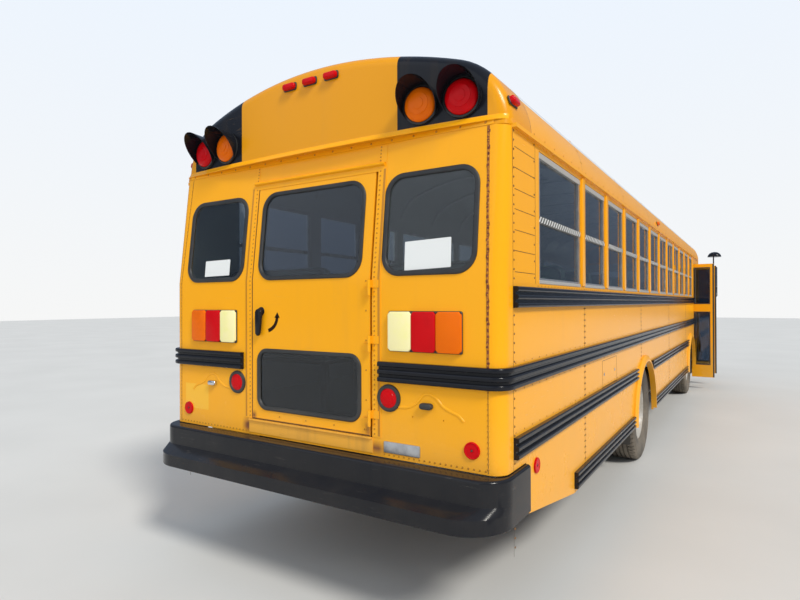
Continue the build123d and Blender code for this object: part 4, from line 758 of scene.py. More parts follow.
    # The near-black grooves of this rail are painted shade.
    RIBBED = Ribs("ribbed_rail_with_painted_groove_shade", (0.70, 0.70, 0.68), (0.05, 0.05, 0.05), 0.043)
    MIRROR = Metal("mirror_glass", (0.80, 0.82, 0.84), (0.74, 0.76, 0.78), 0.02, 0.02, 1.0, 4.0, 0.0, 0.0)
    STICKER = Paint(
        "blank_white_sticker", (0.76, 0.78, 0.78), (0.6, 0.58, 0.52), (0.55, 0.53, 0.5), 0.4, 0.1, 0.0002
    )

    def material(self) -> Material:
        """The finish's material, built the first time that it is asked for."""
        made = bpy.data.materials.get(self.value.name)
        return made if made else self.value.material()


# Meshes


def smooth(mesh: bpy.types.Mesh, angle: float = SHARP_ANGLE) -> None:
    """Shades a mesh smooth, with sharp edges above an angle in degrees."""
    mesh.polygons.foreach_set("use_smooth", [True] * len(mesh.polygons))
    mesh.set_sharp_from_angle(angle=math.radians(angle))


def put(name: str, data: bpy.types.ID) -> Piece:
    """Adds an object to the scene and returns it."""
    made = bpy.data.objects.new(name, data)
    bpy.context.scene.collection.objects.link(made)
    return made


def to_mesh(shape: Mesh, name: str) -> bpy.types.Mesh:
    """Turns a bmesh into a mesh and frees it."""
    mesh = bpy.data.meshes.new(name)
    shape.to_mesh(mesh)
    shape.free()
    return mesh


def finish_piece(
    shape: Mesh, name: str, finish: Finish, body: str = "root", stands_for: Sequence[str] = (),
    slot: Optional[str] = None, angle: float = SHARP_ANGLE,
) -> Piece:
    """Turns a bmesh into a piece that rides on a body.

    Args:
        shape: The mesh, which is freed.
        name: The piece's name.
        finish: Its finish.
        body: The body that it rides on.
        stands_for: CAD nodes that it replaces.
        slot: The record's material slot, if it has one; not used.
        angle: Edges above this many degrees stay sharp.

    Returns:
        The new object.
    """
    bmesh.ops.recalc_face_normals(shape, faces=shape.faces)
    mesh = to_mesh(shape, name)
    smooth(mesh, angle)
    mesh.materials.append(finish.material())
    piece = put(name, mesh)
    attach(piece, body)
    if stands_for:
        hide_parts(*stands_for)
    return piece


def shift(x: float, y: float, z: float) -> Matrix:
    """A move along the three axes."""
    return Matrix.Translation((x, y, z))


def about_z(angle: float) -> Matrix:
    """A turn about the z axis."""
    return Matrix.Rotation(angle, 4, "Z")


def new_meshes(number: int) -> list[Mesh]:
    """Some empty meshes."""
    return [bmesh.new() for _ in range(number)]


def whole(shape: Mesh) -> list:
    """All vertices, edges and faces of a mesh."""
    return [*shape.verts, *shape.edges, *shape.faces]


def round_edges(shape: Mesh, edges: Sequence[bmesh.types.BMEdge], radius: float, segments: int) -> dict:
    """Rounds some edges and returns what the bevel made."""
    return bmesh.ops.bevel(
        shape, geom=edges, offset=radius, segments=segments, profile=0.5, affect="EDGES", material=-1
    )


def push(shape: Mesh, faces: Sequence[bmesh.types.BMFace], move: Point) -> None:
    """Extrudes some faces and moves their copies."""
    grown = bmesh.ops.extrude_face_region(shape, geom=faces)["geom"]
    bmesh.ops.translate(shape, verts=[g for g in grown if isinstance(g, Vert)], vec=move)


def push_outline(shape: Mesh, outline: Iterable[Point], move: Point) -> None:
    """Fills an outline with one face and extrudes it."""
    push(shape, [shape.faces.new([shape.verts.new(point) for point in outline])], move)


def finish_rows(*rows: tuple) -> Pieces:
    """Turns some bmeshes into pieces, from one row of finish_piece's arguments for each."""
    return [finish_piece(*row) for row in rows]


def add_block(
    shape: Mesh, low: Point, high: Point, bevel: float = 0.0, segments: int = 2,
    turn: Optional[Matrix] = None,
) -> list[Vert]:
    """Adds a block with rounded edges.

    Args:
        shape: The mesh it goes into.
        low: Its lowest corner.
        high: Its highest corner.
        bevel: Radius of its edges.
        segments: Steps of the rounding.
        turn: A matrix that the finished block is moved by.

    Returns:
        The block's vertices.
    """
    size = [abs(b - a) for a, b in zip(low, high)]
    middle = [(a + b) / 2 for a, b in zip(low, high)]
    matrix = Matrix.Translation(middle) @ Matrix.Diagonal((*size, 1.0))
    made = bmesh.ops.create_cube(shape, size=1.0, matrix=matrix)["verts"]
    if bevel > 0:
        edges = list({e for v in made for e in v.link_edges})
        rounded = round_edges(shape, edges, bevel, segments)
        made = list({v for f in rounded["faces"] for v in f.verts} | {v for v in made if v.is_valid})
    if turn is not None:
        bmesh.ops.transform(shape, matrix=turn, verts=made)
    return made


def add_turned(shape: Mesh, spot: Matrix, profile: Sequence[Pair], segments: int = 32) -> list[Vert]:
    """Adds a form turned about the z axis of a frame.

    Args:
        shape: The mesh it goes into.
        spot: The frame.
        profile: Pairs of radius and distance along the axis; a radius of 0 closes an end.
        segments: Steps round the axis.

    Returns:
        The form's vertices.
    """
    part = bmesh.new()
    line = [part.verts.new((radius, 0.0, reach)) for radius, reach in profile]
    edges = [part.edges.new(pair) for pair in zip(line, line[1:])]
    bmesh.ops.spin(
        part, geom=line + edges, cent=(0, 0, 0), axis=(0, 0, 1), angle=math.tau, steps=segments,
        use_merge=True,
    )
    bmesh.ops.remove_doubles(part, verts=part.verts, dist=1e-6)
    return stamp(shape, part, [spot])


def stamp(shape: Mesh, part: Mesh, places: Iterable[Matrix]) -> list[Vert]:
    """Copies a small mesh to some places.

    Args:
        shape: The mesh the copies go into.
        part: The small mesh, which is freed.
        places: A frame for each copy.

    Returns:
        The vertices of the copies.
    """
    mesh = to_mesh(part, "stamp")
    first = len(shape.verts)
    for place in places:
        mesh.transform(place)
        shape.from_mesh(mesh)
        mesh.transform(place.inverted())
    bpy.data.meshes.remove(mesh)
    shape.verts.ensure_lookup_table()
    return shape.verts[first:]


def add_run(shape: Mesh, points: Sequence[Point], radius: float, segments: int = 10) -> None:
    """Adds a bent round bar through some points.

    Args:
        shape: The mesh it goes into.
        points: The points.
        radius: Its radius.
        segments: Steps round it.
    """
    for start, end in zip(map(Vector, points), map(Vector, points[1:])):
        turn = (end - start).to_track_quat("Z", "Y").to_matrix().to_4x4()
        bmesh.ops.create_cone(
            shape, cap_ends=True, segments=segments, radius1=radius, radius2=radius,
            depth=(end - start).length, matrix=Matrix.Translation((start + end) / 2) @ turn,
        )
    for point in points[1:-1]:
        bmesh.ops.create_icosphere(shape, subdivisions=2, radius=radius, matrix=Matrix.Translation(point))


def curve_through(points: Sequence[Point], steps: int = 6) -> list[Vector]:
    """Points of a smooth curve through some points."""
    knots = [Vector(point) for point in points]
    knots = [knots[0] * 2 - knots[1], *knots, knots[-1] * 2 - knots[-2]]
    line = []
    for a, b, c, d in zip(knots, knots[1:], knots[2:], knots[3:]):
        for k in range(steps):
            t = k / steps
            square, cube = 2 * a - 5 * b + 4 * c - d, 3 * b - a - 3 * c + d
            line.append(0.5 * (2 * b + (c - a) * t + square * t**2 + cube * t**3))
    return line + [knots[-2]]


@dataclass(frozen=True)
class RivetRow:
    """A straight row of rivets."""

    start: Point
    end: Point
    pitch: float
    normal: Point
    radius: float = 0.0055
    height: float = 0.0025


def row_between(first: Matrix, last: Matrix, pitch: float, *size: float) -> RivetRow:
    """A row of rivets between the origins of two frames, on the surface of the last."""
    return RivetRow(tuple(first.translation), tuple(last.translation), pitch, tuple(last.col[2].xyz), *size)


def add_rivets(shape: Mesh, rows: Iterable[RivetRow]) -> None:
    """Adds every rivet of some rows to a mesh, each as a low dome."""
    for row in rows:
        start, end = Vector(row.start), Vector(row.end)
        number = max(1, round((end - start).length / row.pitch))
        turn = Vector((0, 0, 1)).rotation_difference(Vector(row.normal).normalized()).to_matrix().to_4x4()
        for k in range(number + 1):
            place = Matrix.Translation(start.lerp(end, k / number)) @ turn
            bmesh.ops.create_cone(
                shape, cap_ends=True, segments=8, radius1=row.radius, radius2=row.radius * 0.5,
                depth=row.height, matrix=place @ shift(0, 0, row.height / 2),
            )


# Studio


@dataclass
class Studio:
    """Plain floor, soft light and the camera."""

    place: Point = (2.2065, -8.0042, 1.660)
    angles: Point = (90.2971, 0.1802, 32.4789)
    lens: float = 25.058
    floor_half: float = 60.0
    lighting: float = 0.62
    low_mirrored: float = 0.16
    high_mirrored: float = 0.52

    def build(self) -> None:
        """Makes the camera, the lamps, the world and the floor."""
        self.camera()
        self.lamps()
        self.world()
        self.floor()

    def camera(self) -> None:
        """Makes the camera at the photograph's viewing angle."""
        data = bpy.data.cameras.new("camera")
        data.sensor_width = 36.0
        data.lens = self.lens
        data.clip_end = 200.0
        eye = put("camera", data)
        eye.location = self.place
        eye.rotation_euler = [math.radians(a) for a in self.angles]
        bpy.context.scene.camera = eye

    def lamps(self) -> None:
        """Makes one soft key lamp and one soft fill."""
        for name, angles, energy, spread, tint in (
            ("key", (46.0, 0.0, 66.0), 2.5, 14.0, (1.0, 0.96, 0.88)),
            ("fill", (62.0, 0.0, -20.0), 0.55, 60.0, (0.94, 0.97, 1.0)),
        ):
            data = bpy.data.lights.new(name, "SUN")
            data.energy = energy
            data.angle = math.radians(spread)
            data.color = tint
            put(name, data).rotation_euler = [math.radians(a) for a in angles]

    def world(self) -> None:
        """Makes an even pale surround."""
        world = bpy.data.worlds.new("surround")
        world.use_nodes = True
        tree = Tree(world.node_tree)
        world.node_tree.nodes.clear()
        path = tree.add("LightPath")
        seen = tree.maths("MAXIMUM", path.outputs["Is Camera Ray"], path.outputs["Is Transmission Ray"])
        height = tree.parts(tree.add("TexCoord").outputs["Generated"])[2]
        mirrored = tree.range(height, -0.05, 0.55, self.low_mirrored, self.high_mirrored)
        lit = tree.maths("ADD", tree.times(seen, 1.0 - self.lighting), self.lighting)
        gloss = path.outputs["Is Glossy Ray"]
        part_lit = tree.times(lit, tree.minus(1.0, gloss))
        strength = tree.maths("ADD", part_lit, tree.times(gloss, mirrored))
        sky = tree.range(height, -0.05, 0.5)
        colour = tree.mix(sky, (0.93, 0.93, 0.92), (0.84, 0.91, 1.0))
        colour = tree.mix(gloss, colour, (0.56, 0.72, 1.0))
        back = tree.add("Background")
        tree.feed(back.inputs["Color"], colour)
        tree.feed(back.inputs["Strength"], strength)
        out = tree.add("OutputWorld")
        tree.feed(out.inputs["Surface"], back.outputs[0])
        bpy.context.scene.world = world

    def floor(self) -> None:
        """Makes the floor, which rides on no body of the bus."""
        made, tree, shader = open_material("pale_floor")
        cloud = tree.noise(tree.place(), 0.6, 4.0, 0.5)
        shade = tree.mix(tree.range(cloud, 0.3, 0.7), (0.60, 0.60, 0.59), (0.64, 0.64, 0.63))
        tree.surface(shader, Base_Color=shade, Roughness=0.75)
        under = tree.add("MixShader")
        tree.feed(under.inputs[0], tree.add("NewGeometry").outputs["Backfacing"])
        tree.feed(under.inputs[1], shader.outputs[0])
        tree.feed(under.inputs[2], tree.add("BsdfTransparent").outputs[0])
        out = next(n for n in made.node_tree.nodes if n.type == "OUTPUT_MATERIAL")
        tree.feed(out.inputs["Surface"], under.outputs[0])
        shape = bmesh.new()
        bmesh.ops.create_grid(shape, x_segments=2, y_segments=2, size=self.floor_half)
        plane = put("floor_plane", to_mesh(shape, "floor_plane"))
        plane.data.materials.append(made)


# Places on the body


def frame_at(origin: Point, right: Point, up: Point) -> Matrix:
    """Local frame with x to the right, y up and z outwards."""
    x, y = Vector(right).normalized(), Vector(up).normalized()
    turn = Matrix((x, y, x.cross(y))).transposed().to_4x4()
    return Matrix.Translation(origin) @ turn


def facing_back(place: Point) -> Matrix:
    """Upright frame at a place, seen from behind."""
    return frame_at(place, (1, 0, 0), (0, 0, 1))


def facing_side(side: int, place: Point) -> Matrix:
    """Upright frame at a place, seen from the kerb when side is 1."""
    return frame_at(place, (0, side, 0), (0, 0, 1))


def rear_frame(x: float, z: float, out: float = 0.0) -> Matrix:
    """Frame on the outside of the rear wall, seen from behind."""
    angle = math.atan(LEAN_SLOPE) if z > LEAN_START else 0.0
    spot = frame_at((x, rear_line(z), z), (1, 0, 0), (0, math.sin(angle), math.cos(angle)))
    return spot @ shift(0, 0, out)


def side_frame(side: int, distance: float, z: float, out: float = 0.0) -> Matrix:
    """Frame on the outside of a side wall; side is 1 at the kerb and -1 opposite."""
    return facing_side(side, at(side * (HALF + out), distance, z))


def front_frame(x: float, z: float, out: float = 0.0) -> Matrix:
    """Frame on the outside of the front wall, seen from in front."""
    angle = math.atan(FRONT_SLOPE) if z > WINDSHIELD_SILL else 0.0
    spot = frame_at((x, front_line(z), z), (-1, 0, 0), (0, -math.sin(angle), math.cos(angle)))
    return spot @ shift(0, 0, out)


def shoulder_frame(side: int, y: float, z: float) -> Matrix:
    """Frame on the rounded shoulder of the roof at height z."""
    rise = (z - GUTTER) / SHOULDER_RADIUS
    run = math.sqrt(1 - rise**2)
    return frame_at((side * (SHOULDER_X + SHOULDER_RADIUS * run), y, z), (0, side, 0), (-side * rise, 0, run))


def add_pad(
    shape: Mesh, spot: Matrix, size: Pair, depth: float, corner: float = 0.0, steps: int = 4,
    rim: float = 0.0, rounds: int = 2,
) -> list[Vert]:
    """Adds a flat pad that stands out of a surface.

    Args:
        shape: The mesh it goes into.
        spot: Frame at the middle of its back.
        size: Its width and height.
        depth: How far it stands out.
        corner: Radius of its four corners.
        steps: Steps of each corner.
        rim: Rounding of its front edge.
        rounds: Steps of that rounding.

    Returns:
        The pad's vertices.
    """
    before = set(shape.verts)
    matrix = shift(0, 0, depth / 2) @ Matrix.Diagonal((*size, depth, 1.0))
    cube = bmesh.ops.create_cube(shape, size=1.0, matrix=matrix)["verts"]
    if corner > 0:
        edges = {e for v in cube for e in v.link_edges}
        upright = [e for e in edges if abs(e.verts[0].co.z - e.verts[1].co.z) > depth / 2]
        round_edges(shape, upright, corner, steps)
    if rim > 0:
        made = [v for v in shape.verts if v not in before]
        front = [
            e for e in {e for v in made for e in v.link_edges}
            if min(v.co.z for v in e.verts) > depth - 1e-6 and len(e.link_faces) == 2
        ]
        round_edges(shape, front, rim, rounds)
    made = [v for v in shape.verts if v not in before]
    bmesh.ops.transform(shape, matrix=spot, verts=made)
    return made


def cap_line(x: float) -> float:
    """Y of the upright, bowed face of the rear cap at distance x from the middle."""
    return station(CAP_STAND + CAP_BOW * x * x)


def cap_frame(x: float, z: float) -> Matrix:
    """Frame on the face of the rear cap, seen from behind."""
    return frame_at((x, cap_line(x), z), (1, 2 * CAP_BOW * x, 0), (0, 0, 1))


def cut_across(shape: Mesh, reach: float, cuts: int) -> None:
    """Cuts a mesh by upright planes along the bus, evenly between -reach and reach."""
    for k in range(cuts + 1):
        spot = (reach * (2 * k / cuts - 1), 0, 0)
        bmesh.ops.bisect_plane(shape, geom=whole(shape), dist=1e-5, plane_co=spot, plane_no=(1, 0, 0))


def add_rear_strip(shape: Mesh, ends: Pair, low: float, high: float, proud: float) -> None:
    """Adds a strip that follows the rear wall between two heights."""
    levels = [low] + ([LEAN_START] if low < LEAN_START < high else []) + [high]
    back = [(rear_line(z) + 0.001, z) for z in levels]
    face = [(rear_line(z) - proud, z) for z in reversed(levels)]
    push_outline(shape, [(ends[0], y, z) for y, z in back + face], (ends[1] - ends[0], 0, 0))


def add_seal(shape: Mesh, spot: Matrix, size: Pair, corner: float, width: float, proud: float) -> None:
    """Adds a rubber seal with a rounded section round an opening.

    Args:
        shape: The mesh it goes into.
        spot: Frame at the middle of the opening.
        size: Width and height over the seal.
        corner: Radius of its outer corners.
        width: How wide the seal is.
        proud: How far it stands out.
    """
    ring = bmesh.new()
    add_pad(ring, Matrix(), size, proud * 0.35, corner, 8)
    ring.faces.ensure_lookup_table()
    face = max(ring.faces, key=lambda f: f.calc_center_median().z + f.normal.z)
    back = min(ring.faces, key=lambda f: f.calc_center_median().z + f.normal.z)
    insets = [(0.10, 0.40), (0.18, 0.22), (0.18, 0.03), (0.16, -0.12), (0.14, 0.10), (0.14, -0.30)]
    steps = [(share, rise * proud) for share, rise in insets] + [(0.10, -(0.68 * proud + 0.004))]
    for share, depth in steps:
        bmesh.ops.inset_region(ring, faces=[face], thickness=share * width, depth=depth, use_even_offset=True)
    bmesh.ops.delete(ring, geom=[face, back], context="FACES")
    stamp(shape, ring, [spot])


# Sub-assemblies


@dataclass
class Seals:
    """Rubber seals of the rear windows, the windshield and the emergency door."""

    width: float = 0.038
    proud: float = 0.009
    rear_window: Pair = (0.555, 0.554)
    rear_z: float = 2.0753
    door_width: float = 0.800
    low_window: Pair = (1.1935, 0.379)

    def build(self) -> Pieces:
        """Makes the seals and returns the new pieces."""
        fixed, moving = bmesh.new(), bmesh.new()
        for side in (-1, 1):
            pane = rear_frame(side * 0.8075, self.rear_z)
            add_seal(fixed, pane, self.rear_window, 0.110, 0.029, self.proud)
            pane = front_frame(side * 0.5225, WINDSHIELD_SILL + 0.001) @ shift(0, 0.564, 0)
            add_seal(fixed, pane, (0.975, 1.010), 0.090, self.width, self.proud)
        add_seal(moving, rear_frame(0.0, self.rear_z), (self.door_width, 0.554), 0.110, 0.026, self.proud)
        z, height = self.low_window
        add_seal(moving, rear_frame(0.0, z), (self.door_width, height), 0.079, 0.026, self.proud)
        return [
            finish_piece(fixed, "rounded_window_seals", Finish.RUBBER, "root", ["window_seals"], angle=50.0),
            finish_piece(moving, "rounded_door_seals", Finish.RUBBER, "emergency_door",
                         ["emergency_door_seals"], angle=50.0),
        ]


@dataclass
class RearCap:
    """Bowed cap over the rear wall, with the drip lip along its foot."""

    depth: float = 0.403
    edge: float = 0.070
    wall: float = 0.024
    foot: float = 2.558
    lip_reach: float = 1.205
    section_steps: int = 56
    cut_reach: float = 1.10
    cuts: int = 22

    def build(self) -> Pieces:
        """Makes the cap and its lip and returns the new pieces."""
        return finish_rows(
            (self.shell(), "bowed_rear_cap", Finish.CAP, "root", ["rear_cap"]),
            (self.lip(), "rear_cap_drip_lip", Finish.YELLOW),
        )

    def shell(self) -> Mesh:
        """The cap's shell, open towards the roof and the cabin."""
        shape = bmesh.new()
        turns = [math.pi * (k / self.section_steps - 0.5) for k in range(self.section_steps + 1)]
        face_y, back_y = cap_line(0.0), station(self.depth)
        reach = [HALF * math.sin(turn) for turn in turns]
        line = [shape.verts.new((x, face_y, roof_line(x))) for x in reach]
        face = bmesh.ops.contextual_create(shape, geom=line)["faces"]
        push(shape, face, (0, back_y - face_y, 0))
        rim = [
            e for e in shape.edges
            if max(v.co.y for v in e.verts) < face_y + 1e-5
            and sum(v.co.z for v in e.verts) / 2 > GUTTER + 1e-4
        ]
        round_edges(shape, rim, self.edge, 6)
        ends = [
            f for f in shape.faces
            if f.calc_center_median().y > back_y - 1e-4 or f.calc_center_median().z < GUTTER + 1e-4
        ]
        bmesh.ops.delete(shape, geom=ends, context="FACES")
        cut_across(shape, self.cut_reach, self.cuts)
        for z in (self.foot, self.foot - 0.004):
            spot = (0, 0, z)
            bmesh.ops.bisect_plane(shape, geom=whole(shape), dist=1e-5, plane_co=spot, plane_no=(0, 0, 1))
        for vert in shape.verts:
            share = (back_y - vert.co.y) / (back_y - face_y)
            target = cap_line(vert.co.x) if vert.co.z > self.foot - 0.002 else rear_line(vert.co.z)
            vert.co.y += share * (target - face_y)
        bmesh.ops.recalc_face_normals(shape, faces=shape.faces)
        bmesh.ops.solidify(shape, geom=list(shape.faces), thickness=self.wall)
        return shape

    def lip(self) -> Mesh:
        """The flared lip, bent to the cap's bow."""
        section = ((0.004, 0.014), (-0.002, 0.014), (-0.005, 0.002), (-0.018, -0.014), (-0.016, -0.017),
                   (0.004, -0.006))
        shape = bmesh.new()
        outline = [(-self.lip_reach, dy, self.foot + 0.008 + dz) for dy, dz in section]
        push_outline(shape, outline, (2 * self.lip_reach, 0, 0))
        cut_across(shape, self.cut_reach, self.cuts)
        bend = HALF - self.edge
        for k in range(7):
            cut_across(shape, bend + 0.009 * k, 1)
        for vert in shape.verts:
            past = max(0.0, abs(vert.co.x) - bend)
            vert.co.y += cap_line(vert.co.x) + self.edge - math.sqrt(self.edge**2 - past**2)
        return shape


@dataclass
class Dressing:
    """Finishes of the CAD nodes, by finish."""

    plan: tuple[tuple[Finish, str], ...] = (
        (Finish.YELLOW, "side_wall_left side_wall_right skirts wheel_arch_lips front_wall drip_rails"
         " entrance_leaf_rear entrance_leaf_front"),
        (Finish.REAR_YELLOW, "rear_wall"),
        (Finish.CAP, "rear_cap"),
        (Finish.FRONT_CAP, "front_cap"),
        (Finish.ROOF, "roof"),
        (Finish.BLACK, "grille emergency_door_handle rear_bumper front_bumper rub_rails mirrors"),
        (Finish.ALUMINIUM, "side_window_frames"),
        (Finish.GLASS, "glazing"),
        (Finish.RUBBER, "window_seals emergency_door_seals mud_flaps"),
        (Finish.DOOR_YELLOW, "emergency_door"),
        (Finish.REAR_GLASS, "emergency_door_glass entrance_glass_rear entrance_glass_front"),
        (Finish.FLOOR, "floor entrance_steps"),
        (Finish.CHASSIS, "chassis_frame leaf_springs seat_frames drive_shaft fuel_tank"),
        (Finish.CAST, "rear_axle front_axle knuckle_left knuckle_right engine"),
        (Finish.TYRE, "tyre_front_left tyre_front_right tyres_rear_left tyres_rear_right"),
        (Finish.RIM, "rim_front_left rim_front_right rims_rear_left rims_rear_right"),
        (Finish.WHITE, "hatch_lid_rear hatch_lid_front"),
        (Finish.RED, "stop_arm"),
        (Finish.VINYL, "seats driver_seat"),
        (Finish.PLASTIC, "dashboard"),
        (Finish.GREY, "engine_cover"),
        (Finish.EXHAUST, "exhaust"),
        (Finish.RED_LENS, "rear_lamps"),
        (Finish.AMBER_LENS, "front_lamps"),
    )

    def dress(self, nodes: dict[str, Piece]) -> int:
        """Gives every node its finish.

        Args:
            nodes: The CAD nodes by name.

        Returns:
            How many nodes were dressed.
        """
        pairs = [(nodes[name], finish) for finish, names in self.plan for name in names.split()]
        for node, finish in pairs:
            node.data.materials.clear()
            node.data.materials.append(finish.material())
            node.data.polygons.foreach_set("use_smooth", [True] * len(node.data.polygons))
            weld = node.modifiers.new("join_faces", "WELD")
            weld.merge_threshold = 1e-5
            split = node.modifiers.new("sharp_edges", "EDGE_SPLIT")
            split.split_angle = math.radians(NODE_SHARP_ANGLE)
            split.use_edge_sharp = False
        return len(pairs)


LAMP_FINISHES = {
    "red_lenses": Finish.RED_LENS,
    "amber_lenses": Finish.AMBER_LENS,
    "clear_lenses": Finish.CLEAR_LENS,
    "sealed_beams": Finish.SEALED_BEAM,
    "lamp_bases": Finish.RUBBER,
    "lamp_screws": Finish.SCREW,
    "lamp_hoods": Finish.BLACK,
    "bright_rims": Finish.CHROME,
}
SCREW_HEAD = ((0.0, 0.004), (0.0035, 0.004), (0.0055, 0.002), (0.0055, 0.0))


@dataclass
class LampSet:
    """Meshes that the lamps of one end share, one for each finish.

    The pieces' names start with the place; the first of them stands for the CAD node.
    """

    place: str
    stands_for: str
    meshes: dict[str, Mesh] = field(default_factory=dict)

    def mesh(self, kind: str) -> Mesh:
        """The mesh of one kind, started the first time that it is asked for."""
        if kind not in self.meshes:
            self.meshes[kind] = bmesh.new()
        return self.meshes[kind]

    def turned(self, kind: str, spot: Matrix, profile: Sequence[Pair], segments: int) -> None:
        """Adds a turned form to the mesh of one kind."""
        add_turned(self.mesh(kind), spot, profile, segments)

    def pieces(self) -> Pieces:
        """Turns the meshes into pieces and returns them."""
        made = []
        for kind, shape in self.meshes.items():
            slot = "lens" if kind.endswith("lenses") else None
            stands_for = [] if made else [self.stands_for]
            name = f"{self.place}_{kind}"
            made.append(finish_piece(shape, name, LAMP_FINISHES[kind], "root", stands_for, slot))
        return made

    def block_lamp(self, spot: Matrix, kind: str, size: Pair) -> None:
        """Adds a small oblong lamp of one kind on a dark base."""
        add_pad(self.mesh("lamp_bases"), spot, (size[0] + 0.012, size[1] + 0.010), 0.006, 0.010, 2, 0.002, 1)
        add_pad(self.mesh(kind), spot @ shift(0, 0, 0.005), size, 0.024, 0.012, 3, 0.010, 3)

    def warning_lamp(self, spot: Matrix, kind: str) -> None:
        """Adds a round flashing lamp with its hood."""
        ring = ((0.0, 0.010), (0.092, 0.010), (0.094, 0.016), (0.102, 0.014), (0.102, 0.0))
        self.turned("lamp_bases", spot, ring, 40)
        dome = ((0.0, 0.046), (0.012, 0.0455), (0.030, 0.044), (0.031, 0.0415), (0.056, 0.039),
                (0.057, 0.0365), (0.076, 0.032), (0.086, 0.025), (0.0895, 0.018), (0.090, 0.012))
        self.turned(kind, spot, dome, 48)
        tube = bmesh.new()
        add_turned(tube, Matrix(), ((0.102, 0.012), (0.104, 0.050), (0.112, 0.150)), 40)
        bmesh.ops.bisect_plane(
            tube, geom=whole(tube), plane_co=(0, -0.060, 0.020), plane_no=(0, -0.130, 0.172), clear_outer=True
        )
        bmesh.ops.solidify(tube, geom=list(tube.faces), thickness=0.003)
        stamp(self.mesh("lamp_hoods"), tube, [spot])


class RearLamps(LampSet):
    """Lamps and reflectors of the rear face."""

    cluster_x = 0.7975
    cluster_z = 1.5125
    cluster_size = (0.429, 0.211)
    lens_size = (0.1405, 0.205)
    lens_pitch = 0.1425
    stop_place = (0.580, 1.159)
    reflector_place = (1.059, 0.949)
    plate_lamp_place = (0.810, 1.138)
    warning_x = (0.745, 0.975)
    warning_z = 2.690
    small_x = (-0.160, 0.0, 0.160)
    small_z = 2.968
    marker_places = ((0.178, 2.651, "red_lenses"), (4.969, 2.614, "amber_lenses"))

    def build(self) -> Pieces:
        """Makes the lamps and returns the new pieces."""
        for side in (-1, 1):
            self.cluster(side)
            self.round_lamps(side)
            housing = self.mesh("lamp_bases" if side > 0 else "bright_rims")
            spot = rear_frame(side * self.plate_lamp_place[0], self.plate_lamp_place[1])
            add_pad(housing, spot, (0.072, 0.032), 0.026, 0.015, 3, 0.009, 3)
            for x, kind in zip(self.warning_x, ("amber_lenses", "red_lenses")):
                self.warning_lamp(cap_frame(side * x, self.warning_z), kind)
            for distance, z, kind in self.marker_places:
                self.block_lamp(shoulder_frame(side, station(distance), z), kind, (0.085, 0.040))
        for x in self.small_x:
            self.block_lamp(cap_frame(x, self.small_z), "red_lenses", (0.092, 0.036))
        return self.pieces()

    def cluster(self, side: int) -> None:
        """Adds a cluster of three lenses on one base, with a screw in each chamfered corner."""
        middle = rear_frame(side * self.cluster_x, self.cluster_z)
        add_pad(self.mesh("lamp_bases"), middle, self.cluster_size, 0.008, 0.010, 3, 0.003, 1)
        for k, kind in zip((-1, 0, 1), ("clear_lenses", "red_lenses", "amber_lenses")):
            spot = middle @ shift(side * k * self.lens_pitch, 0, 0.008)
            add_pad(self.mesh(kind), spot, self.lens_size, 0.013, 0.0145, 1, 0.004, 3)
            for u, v in ((-1, -1), (-1, 1), (1, -1), (1, 1)):
                head = spot @ shift(u * 0.0650, v * 0.0975, 0.0)
                self.turned("lamp_screws", head, SCREW_HEAD, 8)

    def round_lamps(self, side: int) -> None:
        """Adds the stop lamp, the rear reflector and the side reflector."""
        spot = rear_frame(side * self.stop_place[0], self.stop_place[1])
        ring = ((0.050, 0.004), (0.053, 0.010), (0.063, 0.012), (0.071, 0.008), (0.073, 0.0))
        self.turned("lamp_bases", spot, ring, 40)
        dome = ((0.0, 0.0125), (0.018, 0.0121), (0.019, 0.0110), (0.035, 0.0105), (0.036, 0.0092),
                (0.048, 0.0084), (0.053, 0.0060), (0.053, 0.003))
        self.turned("red_lenses", spot, dome, 40)
        for spot in (
            rear_frame(side * self.reflector_place[0], self.reflector_place[1]),
            side_frame(side, 0.457, 0.791),
        ):
            disc = ((0.0, 0.006), (0.008, 0.006), (0.010, 0.008), (0.034, 0.008), (0.037, 0.010),
                    (0.041, 0.008), (0.042, 0.0))
            self.turned("red_lenses", spot, disc, 36)
            head = spot @ shift(0, 0, 0.006)
            self.turned("lamp_screws", head, SCREW_HEAD, 10)


class FrontLamps(LampSet):
    """Head lamps, turn lamps and warning lamps of the front face."""

    head_place = (0.830, 1.000)
    turn_z = 1.190
    warning_x = (0.755, 0.990)
    warning_z = 2.675
    small_x = (-0.160, 0.0, 0.160)
    small_z = 2.900

    def build(self) -> Pieces:
        """Makes the lamps and returns the new pieces."""
        for side in (-1, 1):
            spot = front_frame(side * self.head_place[0], self.head_place[1])
            rim = ((0.086, 0.004), (0.089, 0.015), (0.098, 0.018), (0.107, 0.012), (0.109, 0.0))
            self.turned("bright_rims", spot, rim, 44)
            beam = ((0.0, 0.017), (0.030, 0.0168), (0.060, 0.0155), (0.080, 0.013), (0.089, 0.008))
            self.turned("sealed_beams", spot, beam, 44)
            for k in range(4):
                turn = about_z(math.tau * (k + 0.5) / 4)
                head = spot @ turn @ shift(0.099, 0, 0.015)
                self.turned("lamp_screws", head, SCREW_HEAD, 8)
            spot = front_frame(side * self.head_place[0], self.turn_z)
            self.block_lamp(spot, "amber_lenses", (0.176, 0.068))
            for x, kind in zip(self.warning_x, ("amber_lenses", "red_lenses")):
                self.warning_lamp(front_frame(side * x, self.warning_z), kind)
        for x in self.small_x:
            self.block_lamp(front_frame(x, self.small_z), "amber_lenses", (0.092, 0.036))
        return self.pieces()


